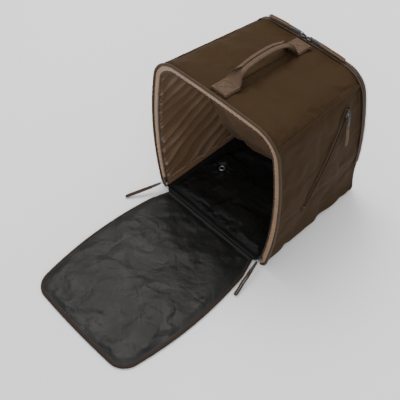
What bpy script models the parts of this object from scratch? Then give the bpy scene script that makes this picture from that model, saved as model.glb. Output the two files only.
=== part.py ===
"""Soft boot bag: a D-section carry bag whose front end panel unzips and folds down as a standing mat.

Frame: metres, +Z up, +X to the bag's right as seen from its front, the opening faces -Y.
The origin is the middle of the base's footprint, on the floor.
"""

import math

import bmesh
import bpy
from mathutils import Matrix, Vector

# Driving dimensions of the bag's D-shaped section at the front opening
HEIGHT = 0.360
HALF_WIDTH = 0.1675
SIDE_RADIUS = 0.75
SIDE_CENTRE_Z = 0.17
SHOULDER_RADIUS = 0.060
TOP_RADIUS = 2.0
FOOT_RADIUS = 0.020
FOOT_COUNT = 3
SIDE_COUNT = 7
SHOULDER_COUNT = 6
TOP_COUNT = 3
SHOULDER_SEAM_STEP = 2
DEPTH = 0.285
FRONT_Y = -DEPTH / 2

# How the section changes towards the back
REAR_HEIGHT_FACTOR = 0.93
REAR_WIDTH_FACTOR = 0.885
REAR_FOOT_WIDTH_FACTOR = 0.995
FOOT_FLARE_HEIGHT = 0.09
BACK_LEAN = 0.023

# Wall build-up, as depths below the bag's outer surface
PANEL_THICKNESS = 0.0016
POCKET_BAG_DEPTH = 0.0047
POCKET_BAG_THICKNESS = 0.0006
FOAM_DEPTH = 0.0058
FOAM_THICKNESS = 0.0031
LINING_DEPTH = 0.0092
LINING_THICKNESS = 0.0010
CLEARANCE = 0.0003
SEAM_GAP = 0.0008
WALL_BACK_GAP = 0.021

# Front rim
PIPING_RADIUS = 0.0024
WALL_START = 0.0030
FACING_INSET = 0.0042
FACING_WIDTH = 0.0078
CHAIN_WIDTH = 0.0036
TAPE_THICKNESS = 0.0018
RIM_DEPTH = 0.0004
PIPING_INSET = 0.0006

# Rear zip ring and back panel
REAR_ZIP_START = 0.0155
REAR_CHAIN_WIDTH = 0.0019
BACK_ROUND = 0.0110
BACK_RIM_STEPS = [(0.0, BACK_ROUND), (0.0, 0.0085), (0.0016, 0.0045), (0.0052, 0.0014), (BACK_ROUND, 0.0)]
BACK_LAYER_INSET = 0.0165
BACK_LAYER_SPACING = 0.006
BACK_FOAM_DEPTH = 0.0022
BACK_FOAM_THICKNESS = 0.0040
BACK_LINING_DEPTH = 0.0066
REAR_FLAP_HINGE_Z = 0.10
REAR_PANEL_TOP = REAR_FLAP_HINGE_Z - 0.0015
REAR_FLAP_FOOT = REAR_FLAP_HINGE_Z + 0.0003
REAR_CHAIN_FOOT = REAR_FLAP_HINGE_Z + 0.001

# Slash pocket on each side: its zip's ends as (y, z)
POCKET_ZIP_TOP = (0.055, 0.292)
POCKET_ZIP_FOOT = (-0.062, 0.128)
POCKET_CHAIN_WIDTH = 0.0070
POCKET_CHAIN_STEPS = 8
POCKET_SLOT_MARGIN = 0.0012
POCKET_SLOT_DEPTH = 0.030
POCKET_BAG_FRONT_GAP = 0.060
POCKET_BAG_BACK_GAP = 0.040

# Base
BASE_HALF_WIDTH = 0.1300
BASE_THICKNESS = 0.0020
STIFFENER_THICKNESS = 0.0030
LINER_THICKNESS = 0.0010
STIFFENER_Z = BASE_THICKNESS + CLEARANCE
LINER_Z = STIFFENER_Z + STIFFENER_THICKNESS + CLEARANCE
FLOOR_TOP = LINER_Z + LINER_THICKNESS
FLOOR_BACK_GAP = 0.018
EYELET_X = 0.088
EYELET_Y = -0.024
EYELET_HOLE = 0.0040
EYELET_FLANGE = 0.0075
EYELET_LIP = 0.0009
EYELET_WALL = 0.0010
EYELET_MARGIN = 0.0008
EYELET_TAIL = 0.0006

# Inner partition: its side profile as (y, z) from foot to head
PARTITION_PROFILE = [(0.074, 0.0085), (0.046, 0.045), (0.022, 0.088), (0.002, 0.140), (-0.012, 0.200),
                     (-0.022, 0.260), (-0.028, 0.300), (-0.032, 0.333)]
PARTITION_THICKNESS = 0.0014
PARTITION_FOOT_GAP = 0.0025

# Front flap, which lies open on the floor
FLAP_HINGE_Y = FRONT_Y - 0.0060
FLAP_THICKNESS = 0.0060
FLAP_LENGTH = 0.350
FLAP_INSET = 0.0200
FLAP_CORNER_TRIM = 0.014
FLAP_HINGE_GAP = 0.0006
FLAP_BINDING_WIDTH = 0.0036
FLAP_CHAIN_WIDTH = 0.0024
FLAP_CHAIN_Z = 0.0016
FLAP_PANEL_THICKNESS = 0.0014
FLAP_BOARD_THICKNESS = 0.0027
FLAP_LINER_THICKNESS = 0.0011
HINGE_STRIP_SIZE = (0.236, 0.0070, 0.0020)
HINGE_STRIP_Y = FRONT_Y - 0.0017
HINGE_STRIP_Z = 0.0040

# Handle
HANDLE_END_WIDTH = 0.034
HANDLE_GRIP_WIDTH = 0.025
HANDLE_THICKNESS = 0.0030
HANDLE_RISE = 0.026
HANDLE_FRONT = 0.010
HANDLE_BACK = 0.030
HANDLE_TAB = 0.034
HANDLE_LIFT = 0.0018
HANDLE_RAMP = 0.22
PATCH_TOP = 0.0014
PATCH_THICKNESS = 0.0009
PATCH_MARGIN = 0.001

# Zip sliders and their pulls
SLIDER_LENGTH = 0.0120
SLIDER_WIDTH = 0.0090
SLIDER_HEIGHT = 0.0040
SLIDER_LIFT = 0.0006
SLIDER_TAPER = 0.72
BRIDGE_TAPER = 0.80
EDGE_ROUND = 0.0006
TAB_LENGTH = 0.028
TAB_WIDTH = 0.0070
TAB_OVERHANG = 0.0015
PULL_THICKNESS = 0.0026
PIVOT_STAND_OFF = 0.0022
PIVOT_SET_BACK = 0.0020
FRONT_STAND_OFF = 0.0042
LOOP_WIDTH = 0.0100
FRONT_SLIDER_Z = 0.024
FRONT_LOOP = 0.058
FRONT_PULL_REST = 0.62
FRONT_PULL_TURN = {"left": math.radians(26), "right": math.radians(11)}
REAR_SLIDER_X = {"left": -0.0145, "right": 0.0005}
REAR_LOOP = 0.056
POCKET_LOOP = 0.048
POCKET_PULL_LEAN = 0.06
POCKET_SLIDER_START = 0.7

COLLECTION_NAME = "boot_bag"
SIDES = {"left": -1, "right": 1}

# Base colour, roughness and, for metals, metallic value of each material
FINISHES = {
    "shell": ((0.118, 0.086, 0.060), 0.62),
    "lining": ((0.190, 0.140, 0.098), 0.45),
    "foam": ((0.55, 0.53, 0.50), 0.90),
    "board": ((0.06, 0.06, 0.06), 0.70),
    "tarpaulin": ((0.022, 0.022, 0.024), 0.42),
    "binding": ((0.070, 0.052, 0.040), 0.75),
    "webbing": ((0.150, 0.112, 0.080), 0.72),
    "zip_tape": ((0.050, 0.040, 0.033), 0.80),
    "slider": ((0.030, 0.030, 0.032), 0.35, 0.6),
    "metal": ((0.55, 0.55, 0.55), 0.30, 1.0),
}


def clear_scene():
    """Remove whatever the file opened with."""
    for item in list(bpy.data.objects):
        bpy.data.objects.remove(item, do_unlink=True)


def make_collection(name):
    """A collection in the scene for the parts or for the cutters."""
    collection = bpy.data.collections.new(name)
    bpy.context.scene.collection.children.link(collection)
    return collection


def make_material(name, colour, roughness, metallic=0.0):
    """One Principled material."""
    material = bpy.data.materials.new(name)
    material.use_nodes = True
    shader = material.node_tree.nodes["Principled BSDF"]
    shader.inputs["Base Color"].default_value = (*colour, 1.0)
    shader.inputs["Roughness"].default_value = roughness
    shader.inputs["Metallic"].default_value = metallic
    return material


def add_part(name, mesh, material_key, smooth=True):
    """Put a mesh into the parts collection under its node's name, with a material of its own."""
    part = bpy.data.objects.new(name, mesh)
    mesh.materials.append(make_material(name, *FINISHES[material_key]))
    if smooth:
        mesh.shade_smooth()
        mesh.set_sharp_from_angle(angle=math.radians(35))
    PARTS.objects.link(part)
    return part


def mesh_from(name, bm):
    """Turn a bmesh into a mesh."""
    mesh = bpy.data.meshes.new(name)
    bm.to_mesh(mesh)
    bm.free()
    return mesh


def solidify(part, thickness, offset=-1.0):
    """Give an open surface its thickness."""
    modifier = part.modifiers.new("thickness", "SOLIDIFY")
    modifier.thickness = thickness
    modifier.offset = offset
    modifier.use_even_offset = True
    return part


def arc_points(centre, radius, start, end, count):
    """Points along an arc in the X-Z plane, angles from +X towards +Z."""
    steps = [start + (end - start) * i / count for i in range(count + 1)]
    return [(centre[0] + radius * math.cos(a), centre[1] + radius * math.sin(a)) for a in steps]


def section_arcs():
    """Centres and tangent angles of the four arcs that make the right half of the front outline."""
    side_centre = (HALF_WIDTH - SIDE_RADIUS, SIDE_CENTRE_Z)
    top_centre = (0.0, HEIGHT - TOP_RADIUS)
    to_side = SIDE_RADIUS - SHOULDER_RADIUS
    to_top = TOP_RADIUS - SHOULDER_RADIUS
    gap = math.hypot(side_centre[0] - top_centre[0], side_centre[1] - top_centre[1])
    along = (to_top ** 2 - to_side ** 2 + gap ** 2) / (2 * gap)
    across = math.sqrt(to_top ** 2 - along ** 2)
    ux, uz = (side_centre[0] - top_centre[0]) / gap, (side_centre[1] - top_centre[1]) / gap
    shoulder_centre = (top_centre[0] + ux * along + uz * across, top_centre[1] + uz * along - ux * across)
    side_angle = math.atan2(shoulder_centre[1] - side_centre[1], shoulder_centre[0] - side_centre[0])
    top_angle = math.atan2(shoulder_centre[1] - top_centre[1], shoulder_centre[0] - top_centre[0])
    return side_centre, shoulder_centre, top_centre, side_angle, top_angle


def half_outline():
    """The right half of the front outline, from the foot at the floor up and over to the top centre."""
    side_centre, shoulder_centre, top_centre, side_angle, top_angle = section_arcs()
    foot_angle = math.asin((FOOT_RADIUS - SIDE_CENTRE_Z) / (SIDE_RADIUS - FOOT_RADIUS))
    foot_x = side_centre[0] + (SIDE_RADIUS - FOOT_RADIUS) * math.cos(foot_angle)
    points = arc_points((foot_x, FOOT_RADIUS), FOOT_RADIUS, -math.pi / 2, foot_angle, FOOT_COUNT)
    points += arc_points(side_centre, SIDE_RADIUS, foot_angle, side_angle, SIDE_COUNT)[1:]
    points += arc_points(shoulder_centre, SHOULDER_RADIUS, side_angle, top_angle, SHOULDER_COUNT)[1:]
    points += arc_points(top_centre, TOP_RADIUS, top_angle, math.pi / 2, TOP_COUNT)[1:]
    return points


def inset_outline(points, inset, first=(1.0, 0.0)):
    """Move each point of a half outline inwards along its own normal; first is its starting direction."""
    moved = []
    for i, (x, z) in enumerate(points):
        before = points[max(i - 1, 0)]
        after = points[min(i + 1, len(points) - 1)]
        dx, dz = after[0] - before[0], after[1] - before[1]
        if i == 0:
            dx, dz = first
        if i == len(points) - 1:
            dx, dz = -1.0, 0.0
        length = math.hypot(dx, dz)
        moved.append((x - inset * dz / length, z + inset * dx / length))
    return moved


OUTLINE = half_outline()
SEAM_INDEX = FOOT_COUNT + SIDE_COUNT + SHOULDER_SEAM_STEP
LAST_INDEX = len(OUTLINE) - 1


def back_y(z):
    """Depth of the leaning back panel's outer face at a height."""
    return DEPTH / 2 - BACK_LEAN * z / (HEIGHT * REAR_HEIGHT_FACTOR)


def place(x, z, front_gap, back_gap, t):
    """A section point carried from the front (t = 0) to the back (t = 1) of the bag."""
    flare = max(0.0, 1.0 - z / FOOT_FLARE_HEIGHT) ** 2
    narrowing = REAR_WIDTH_FACTOR + (REAR_FOOT_WIDTH_FACTOR - REAR_WIDTH_FACTOR) * flare
    rear_z = z * REAR_HEIGHT_FACTOR
    start = FRONT_Y + front_gap
    y = start + t * (back_y(rear_z) - back_gap - start)
    s = (y - FRONT_Y) / (back_y(rear_z) - FRONT_Y)
    return Vector((x * (1 + (narrowing - 1) * s), y, z + (rear_z - z) * s))


def sink(placed, depth):
    """Move a placed half section inwards by a depth, in its own plane."""
    moved = inset_outline([(p.x, p.z) for p in placed], depth)
    return [Vector((x, p.y, z)) for (x, z), p in zip(moved, placed)]


def grid_surface(name, rows):
    """An open surface through rows of points, faces pointing out of the bag."""
    bm = bmesh.new()
    grid = [[bm.verts.new(p) for p in row] for row in rows]
    for lower, upper in zip(grid, grid[1:]):
        for a, b, c, d in zip(lower, lower[1:], upper[1:], upper):
            bm.faces.new((a, b, c, d))
    return mesh_from(name, bm)


def trim_ends(row, gap):
    """Pull both ends of a row of points in by a seam gap."""
    row[0] = row[0] + (row[1] - row[0]).normalized() * gap
    row[-1] = row[-1] + (row[-2] - row[-1]).normalized() * gap
    return row


def wall_patch(name, first, last, depth, thickness, finish, side, front_gap, back_gap, columns=4):
    """One layer of the wall between two stations of the outline, on the left or the right."""
    rows = []
    for i in range(columns + 1):
        placed = [place(x, z, front_gap, back_gap, i / columns) for x, z in OUTLINE]
        row = sink(placed, depth)[first:last + 1]
        rows.append(trim_ends([Vector((side * p.x, p.y, p.z)) for p in row], SEAM_GAP / 2))
    if side > 0:
        rows.reverse()
    part = add_part(name, grid_surface(name, rows), finish)
    return solidify(part, thickness)


def flat_plate(name, points, thickness, finish):
    """A plate from a flat outline, thickened downwards or inwards."""
    bm = bmesh.new()
    bm.faces.new([bm.verts.new(p) for p in points])
    part = add_part(name, mesh_from(name, bm), finish, smooth=False)
    return solidify(part, thickness)


def box_mesh(name, size):
    """A box mesh centred on the origin."""
    bm = bmesh.new()
    bmesh.ops.create_cube(bm, size=1.0)
    bmesh.ops.scale(bm, vec=size, verts=bm.verts)
    return mesh_from(name, bm)


def ring_strip(name, outline_inset, width, y_front, thickness, finish):
    """A flat strip that follows the front opening from foot to foot."""
    outer = inset_outline(OUTLINE, outline_inset)
    inner = inset_outline(OUTLINE, outline_inset + width)
    loops = []
    for half in (outer, inner):
        right = [Vector((x, y_front, z)) for x, z in half]
        left = [Vector((-x, y_front, z)) for x, z in reversed(half[:-1])]
        loops.append(right + left)
    part = add_part(name, grid_surface(name, loops), finish)
    return solidify(part, thickness)


def cut(part, cutter):
    """Take a cutter's volume out of a part."""
    modifier = part.modifiers.new("cut", "BOOLEAN")
    modifier.operation = "DIFFERENCE"
    modifier.solver = "EXACT"
    modifier.object = cutter


def add_cutter(name, mesh, location, rotation=None):
    """A wire-drawn cutter object."""
    cutter = bpy.data.objects.new(name, mesh)
    cutter.location = location
    if rotation is not None:
        cutter.rotation_mode = "QUATERNION"
        cutter.rotation_quaternion = rotation
    cutter.hide_render = True
    cutter.display_type = "WIRE"
    CUTTERS.objects.link(cutter)
    return cutter


# --- walls -------------------------------------------------------------------------------------


def pocket_line(side):
    """Upper and lower ends of the slash pocket's zip, on the outer surface."""
    return [surface_point(side, y, z, 0.0) for y, z in (POCKET_ZIP_TOP, POCKET_ZIP_FOOT)]


def pocket_chain(name, side):
    """The pocket's zip: a narrow strip that lies in the slot and follows the side's curve."""
    (y0, z0), (y1, z1) = POCKET_ZIP_TOP, POCKET_ZIP_FOOT
    length = math.hypot(y1 - y0, z1 - z0)
    half = POCKET_CHAIN_WIDTH / 2
    across_y, across_z = (z0 - z1) / length * half, (y1 - y0) / length * half
    rows = []
    for i in range(POCKET_CHAIN_STEPS + 1):
        share = i / POCKET_CHAIN_STEPS
        y, z = y0 + (y1 - y0) * share, z0 + (z1 - z0) * share
        rows.append([surface_point(side, y + k * across_y, z + k * across_z, 0.0) for k in (side, -side)])
    part = add_part(name, grid_surface(name, rows), "zip_tape")
    return solidify(part, PANEL_THICKNESS)


def surface_point(side, y, z, depth):
    """A point of the side wall at a depth below its outer surface."""
    stations = sink([place_at(x0, z0, y) for x0, z0 in OUTLINE], depth)
    best = stations[0]
    for a, b in zip(stations, stations[1:]):
        if a.z <= z <= b.z:
            best = a.lerp(b, (z - a.z) / (b.z - a.z))
            break
    return Vector((side * best.x, y, z))


def place_at(x, z, y):
    """A section point at a given depth along the bag."""
    rear_z = z * REAR_HEIGHT_FACTOR
    s = (y - FRONT_Y) / (back_y(rear_z) - FRONT_Y)
    return place(x, z, 0.0, 0.0, s)


def zip_frame(upper, lower, outward):
    """Rotation whose X runs down the zip and whose Z points out of the bag."""
    along = (lower - upper).normalized()
    across = outward.cross(along).normalized()
    normal = along.cross(across).normalized()
    return Matrix((along, across, normal)).transposed().to_quaternion()


def make_walls():
    """Outer panels, pocket bags, foam and linings of both sides and of the top."""
    back_gap = REAR_ZIP_START + CLEARANCE
    for word, side in SIDES.items():
        upper, lower = pocket_line(side)
        middle = (upper + lower) / 2
        turn = zip_frame(upper, lower, Vector((side, 0, 0)))
        length = (lower - upper).length
        panel = wall_patch(f"side_panel_{word}", 0, SEAM_INDEX, 0.0, PANEL_THICKNESS, "shell", side,
                           WALL_START, back_gap)
        slot_size = (length + POCKET_SLOT_MARGIN, POCKET_CHAIN_WIDTH + POCKET_SLOT_MARGIN, POCKET_SLOT_DEPTH)
        cutter = add_cutter(f"pocket_slot_{word}", box_mesh("pocket_slot", slot_size), middle, turn)
        cut(panel, cutter)
        pocket_chain(f"pocket_zip_{word}", side)
        wall_patch(f"pocket_bag_{word}", 4, SEAM_INDEX - 1, POCKET_BAG_DEPTH,
                   POCKET_BAG_THICKNESS, "lining", side, POCKET_BAG_FRONT_GAP, POCKET_BAG_BACK_GAP, 3)
        wall_patch(f"side_foam_{word}", 0, SEAM_INDEX, FOAM_DEPTH, FOAM_THICKNESS, "foam",
                   side, WALL_START, WALL_BACK_GAP)
        wall_patch(f"side_lining_{word}", 0, SEAM_INDEX, LINING_DEPTH, LINING_THICKNESS,
                   "lining", side, WALL_START, WALL_BACK_GAP)
        wall_patch(f"top_panel_{word}", SEAM_INDEX, LAST_INDEX, 0.0, PANEL_THICKNESS, "shell", side,
                   WALL_START, back_gap)
        wall_patch(f"top_foam_{word}", SEAM_INDEX, LAST_INDEX, FOAM_DEPTH, FOAM_THICKNESS,
                   "foam", side, WALL_START, WALL_BACK_GAP)
        wall_patch(f"top_lining_{word}", SEAM_INDEX, LAST_INDEX, LINING_DEPTH,
                   LINING_THICKNESS, "lining", side, WALL_START, WALL_BACK_GAP)


# --- base and eyelets --------------------------------------------------------------------------


def base_outline(half_width, front, back_gap):
    """Corners of a floor layer, narrowing slightly towards the back."""
    back = DEPTH / 2 - back_gap
    rear_half = half_width * REAR_FOOT_WIDTH_FACTOR
    return [(-half_width, front), (half_width, front), (rear_half, back), (-rear_half, back)]


def floor_layer(name, half_width, z, thickness, finish, back_gap):
    """One flat layer of the base, with a hole for each drain eyelet."""
    front = FRONT_Y + WALL_START
    corners = [Vector((x, y, z + thickness)) for x, y in base_outline(half_width, front, back_gap)]
    part = flat_plate(name, corners, thickness, finish)
    for word, side in SIDES.items():
        bm = bmesh.new()
        hole = EYELET_HOLE + EYELET_MARGIN
        bmesh.ops.create_cone(bm, cap_ends=True, segments=24, radius1=hole, radius2=hole, depth=0.02)
        centre = (side * EYELET_X, EYELET_Y, z + thickness / 2)
        cutter = add_cutter(f"{name}_hole_{word}", mesh_from("eyelet_hole", bm), centre)
        cut(part, cutter)
    return part


def make_eyelet(word, side):
    """A rolled metal drain eyelet through the three floor layers, turned about its axis."""
    low, high = BASE_THICKNESS - EYELET_TAIL, FLOOR_TOP
    lip = EYELET_LIP
    bore = EYELET_HOLE - EYELET_WALL
    profile = [(EYELET_FLANGE, high + CLEARANCE), (EYELET_FLANGE - lip, high + CLEARANCE + lip),
               (bore + lip, high + CLEARANCE + lip), (bore, high), (bore, low),
               (EYELET_HOLE, low), (EYELET_HOLE, high + CLEARANCE)]
    bm = bmesh.new()
    verts = [bm.verts.new((r, 0, z)) for r, z in profile]
    edges = [bm.edges.new((a, b)) for a, b in zip(verts, verts[1:] + verts[:1])]
    bmesh.ops.spin(bm, geom=verts + edges, cent=(0, 0, 0), axis=(0, 0, 1), angle=math.tau, steps=24,
                   use_merge=True)
    bmesh.ops.remove_doubles(bm, verts=bm.verts, dist=0.00001)
    bmesh.ops.recalc_face_normals(bm, faces=bm.faces)
    part = add_part(f"drain_eyelet_{word}", mesh_from("drain_eyelet", bm), "metal")
    part.location = (side * EYELET_X, EYELET_Y, 0.0)


def make_base():
    """Base panel, stiffener board, black floor liner and the two drain eyelets."""
    floor_layer("base_panel", BASE_HALF_WIDTH, 0.0, BASE_THICKNESS, "shell", BACK_ROUND + 0.0010)
    inner_half = BASE_HALF_WIDTH - 0.0010
    floor_layer("base_stiffener", inner_half, STIFFENER_Z, STIFFENER_THICKNESS, "board", FLOOR_BACK_GAP)
    floor_layer("floor_liner", inner_half, LINER_Z, LINER_THICKNESS, "tarpaulin", FLOOR_BACK_GAP)
    for word, side in SIDES.items():
        make_eyelet(word, side)


# --- back --------------------------------------------------------------------------------------


def rear_outline(inset):
    """The closed outline of the bag's back: right foot, over the top, left foot."""
    sunk = sink([place(x, z, 0.0, 0.0, 1.0) for x, z in OUTLINE], inset)
    right = [Vector((p.x, back_y(p.z), p.z)) for p in sunk]
    left = [Vector((-p.x, p.y, p.z)) for p in reversed(right[:-1])]
    return right + left


def split_outline(points, z_split, upper):
    """The part of the closed outline above or below a height, ends cut exactly at it."""
    kept = []
    count = len(points)
    for i in range(count):
        a, b = points[i], points[(i + 1) % count]
        if (a.z >= z_split) == upper:
            kept.append(a)
        if (a.z - z_split) * (b.z - z_split) < 0:
            kept.append(a.lerp(b, (z_split - a.z) / (b.z - a.z)))
    return kept


def start_at_split(points, z_split):
    """Turn a closed list of points so that it starts and ends on the split line."""
    count = len(points)
    for i in range(count):
        on_line = abs(points[i].z - z_split) < 1e-6
        before = abs(points[i - 1].z - z_split) < 1e-6
        if on_line and before:
            return points[i:] + points[:i]
    return points


def back_cap(name, z_split, upper, finish):
    """The back panel above or below the split: a flat face with a rounded rim along the outline."""
    rings = []
    for inset, forward in BACK_RIM_STEPS:
        ring = split_outline(rear_outline(inset), z_split, upper)
        ring = start_at_split(ring, z_split)
        rings.append([p - Vector((0, forward, 0)) for p in ring])
    bm = bmesh.new()
    loops = [[bm.verts.new(p) for p in ring] for ring in rings]
    for outer, inner in zip(loops, loops[1:]):
        for a, b, c, d in zip(outer, outer[1:], inner[1:], inner):
            bm.faces.new((a, b, c, d))
    bm.faces.new(loops[-1])
    bmesh.ops.recalc_face_normals(bm, faces=bm.faces)
    part = add_part(name, mesh_from(name, bm), finish)
    return solidify(part, PANEL_THICKNESS)


def thin_out(points, spacing):
    """Drop the points that come too close to the last one kept."""
    kept = []
    for p in points:
        if all((p - q).length > spacing for q in kept[-2:]):
            kept.append(p)
    return kept


def back_layer(name, z_split, upper, depth, thickness, finish):
    """A flat foam or lining layer just inside the back panel."""
    ring = split_outline(thin_out(rear_outline(BACK_LAYER_INSET), BACK_LAYER_SPACING), z_split, upper)
    points = [p - Vector((0, depth, 0)) for p in ring]
    bm = bmesh.new()
    bm.faces.new([bm.verts.new(p) for p in points])
    bmesh.ops.recalc_face_normals(bm, faces=bm.faces)
    bm.faces.ensure_lookup_table()
    face = bm.faces[0]
    face.normal_update()
    if face.normal.y < 0:
        face.normal_flip()
    part = add_part(name, mesh_from(name, bm), finish, smooth=False)
    return solidify(part, thickness)


def rear_chain(name, back_gap, finish):
    """Half of the rear zip: a ring over the sides and the top, from hinge height to hinge height."""
    rings = []
    for gap in (back_gap, back_gap - REAR_CHAIN_WIDTH):
        half = [place(x, z, 0.0, gap, 1.0) for x, z in OUTLINE]
        low = next(i for i, p in enumerate(half) if p.z > REAR_CHAIN_FOOT + 0.003)
        a, b = half[low - 1], half[low]
        start = a.lerp(b, (REAR_CHAIN_FOOT - a.z) / (b.z - a.z))
        right = [start] + half[low:]
        left = [Vector((-p.x, p.y, p.z)) for p in reversed(right[:-1])]
        rings.append(right + left)
    part = add_part(name, grid_surface(name, [rings[1], rings[0]]), finish)
    return solidify(part, TAPE_THICKNESS)


def make_back():
    """Lower back panel, the upper one that unzips as the rear flap, and the rear zip between them."""
    for word, split, upper in (("back", REAR_PANEL_TOP, False), ("rear_flap", REAR_FLAP_FOOT, True)):
        back_cap(f"{word}_panel", split, upper, "shell")
        back_layer(f"{word}_foam", split, upper, BACK_FOAM_DEPTH, BACK_FOAM_THICKNESS, "foam")
        back_layer(f"{word}_lining", split, upper, BACK_LINING_DEPTH, LINING_THICKNESS, "lining")
    rear_chain("rear_zip_body_half", REAR_ZIP_START, "zip_tape")
    rear_chain("rear_zip_flap_half", REAR_ZIP_START - REAR_CHAIN_WIDTH - CLEARANCE, "zip_tape")


# --- inner partition ---------------------------------------------------------------------------


def make_partition():
    """The sloping sheet between the boot space and the rear pocket."""
    rows = []
    for y, z in PARTITION_PROFILE:
        reach = surface_point(1, y, z, LINING_DEPTH + LINING_THICKNESS + 0.0010).x
        if z < LINING_DEPTH + 2 * LINING_THICKNESS:
            reach -= PARTITION_FOOT_GAP
        rows.append([Vector((x, y, z)) for x in (-reach, -reach / 3, reach / 3, reach)])
    part = add_part("inner_partition", grid_surface("inner_partition", rows), "lining")
    solidify(part, PARTITION_THICKNESS)


# --- front rim ---------------------------------------------------------------------------------


def make_front_rim():
    """Piping round the opening, its facing strip and the body's half of the front zip."""
    half = inset_outline(OUTLINE, PIPING_INSET)[1:]
    path = [(x, FRONT_Y, z) for x, z in half]
    path += [(-x, FRONT_Y, z) for x, z in reversed(half[:-1])]
    curve = bpy.data.curves.new("front_piping", "CURVE")
    curve.dimensions = "3D"
    spline = curve.splines.new("POLY")
    spline.points.add(len(path) - 1)
    for point, place_xyz in zip(spline.points, path):
        point.co = (*place_xyz, 1.0)
    curve.bevel_depth = PIPING_RADIUS
    curve.bevel_resolution = 2
    curve.use_fill_caps = True
    curve.materials.append(make_material("front_piping", *FINISHES["binding"]))
    PARTS.objects.link(bpy.data.objects.new("front_piping", curve))
    rim_y = FRONT_Y + RIM_DEPTH
    ring_strip("front_facing", FACING_INSET, FACING_WIDTH, rim_y, TAPE_THICKNESS, "lining")
    chain = FACING_INSET + FACING_WIDTH + CLEARANCE
    ring_strip("front_zip_body_half", chain, CHAIN_WIDTH, rim_y, TAPE_THICKNESS, "zip_tape")


# --- front flap --------------------------------------------------------------------------------


def flap_half_outline():
    """The flap's right half as (x, distance from the hinge): narrow at the hinge, round at the far end."""
    body = [p for p in inset_outline(OUTLINE, FLAP_INSET) if p[1] > 2 * FLAP_INSET]
    stretch = FLAP_LENGTH / body[-1][1]
    return [(body[0][0] - FLAP_CORNER_TRIM, FLAP_HINGE_GAP)] + [(x, z * stretch) for x, z in body]


def flap_outline(inset, hinge_inset):
    """The flap's whole outline on the floor: from the hinge on the right, round the far end, back left."""
    half = inset_outline(flap_half_outline(), inset, first=(0.0, 1.0))
    half[0] = (half[0][0], half[0][1] + hinge_inset)
    right = [(x, FLAP_HINGE_Y - reach) for x, reach in half]
    left = [(-x, y) for x, y in reversed(right[:-1])]
    return right + left


def flap_layer(name, inset, z, thickness, finish):
    """One flat layer of the flap."""
    outline = flap_outline(inset, CLEARANCE)
    return flat_plate(name, [Vector((x, y, z + thickness)) for x, y in reversed(outline)], thickness, finish)


def flap_ring(name, inset, width, z, thickness, finish):
    """A band round the flap's free edge, open at the hinge."""
    rings = []
    for reach in (inset, inset + width):
        outline = flap_outline(reach, 0.0)
        rings.append([Vector((x, y, z + thickness)) for x, y in outline])
    part = add_part(name, grid_surface(name, rings), finish)
    return solidify(part, thickness)


def make_flap():
    """The folded-down front panel: fabric, board, black liner, binding and its half of the zip."""
    inner = FLAP_CHAIN_WIDTH + FLAP_BINDING_WIDTH + 2 * CLEARANCE
    board_z = FLAP_PANEL_THICKNESS + CLEARANCE
    liner_z = board_z + FLAP_BOARD_THICKNESS + CLEARANCE
    flap_layer("flap_panel", inner, 0.0, FLAP_PANEL_THICKNESS, "shell")
    flap_layer("flap_board", inner, board_z, FLAP_BOARD_THICKNESS, "board")
    flap_layer("flap_liner", inner, liner_z, FLAP_LINER_THICKNESS, "tarpaulin")
    binding = FLAP_CHAIN_WIDTH + CLEARANCE
    flap_ring("flap_binding", binding, FLAP_BINDING_WIDTH, 0.0, FLAP_THICKNESS, "binding")
    flap_ring("front_zip_flap_half", 0.0, FLAP_CHAIN_WIDTH, FLAP_CHAIN_Z, TAPE_THICKNESS, "zip_tape")
    strip = box_mesh("flap_hinge_strip", HINGE_STRIP_SIZE)
    part = add_part("flap_hinge_strip", strip, "tarpaulin", smooth=False)
    part.location = (0.0, HINGE_STRIP_Y, HINGE_STRIP_Z)


# --- handle ------------------------------------------------------------------------------------


def top_z(y):
    """Height of the top surface on the centre line."""
    return place_at(0.0, HEIGHT, y).z


def handle_height(s):
    """Rise of the handle above the top at a fraction of its free length: quick up, level, quick down."""
    edge = min(s, 1.0 - s) / HANDLE_RAMP
    if edge >= 1.0:
        return 1.0
    return edge * edge * (3 - 2 * edge)


def make_handle():
    """Webbing handle sewn flat at both ends, with a patch under each end."""
    start, end = FRONT_Y + HANDLE_FRONT, back_y(top_z(0.1)) - HANDLE_BACK
    stations = [start, start + HANDLE_TAB]
    free = [start + HANDLE_TAB + (end - start - 2 * HANDLE_TAB) * i / 16 for i in range(1, 17)]
    rows = []
    for y in stations + free + [end]:
        s = (y - start - HANDLE_TAB) / (end - start - 2 * HANDLE_TAB)
        s = min(max(s, 0.0), 1.0)
        rise = handle_height(s)
        width = HANDLE_END_WIDTH + (HANDLE_GRIP_WIDTH - HANDLE_END_WIDTH) * rise
        z = top_z(y) + HANDLE_LIFT + rise * HANDLE_RISE + HANDLE_THICKNESS
        rows.append([Vector((x, y, z)) for x in (-width / 2, width / 2)])
    part = add_part("handle_webbing", grid_surface("handle_webbing", rows[::-1]), "webbing")
    solidify(part, HANDLE_THICKNESS)
    for word, a, b in (("front", start, start + HANDLE_TAB), ("rear", end - HANDLE_TAB, end)):
        half = HANDLE_END_WIDTH / 2 + PATCH_MARGIN
        plan = ((-half, a), (half, a), (half, b), (-half, b))
        corners = [Vector((x, y, top_z(y) + PATCH_TOP)) for x, y in plan]
        flat_plate(f"handle_patch_{word}", corners, PATCH_THICKNESS, "webbing")


# --- zip sliders -------------------------------------------------------------------------------


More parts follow.
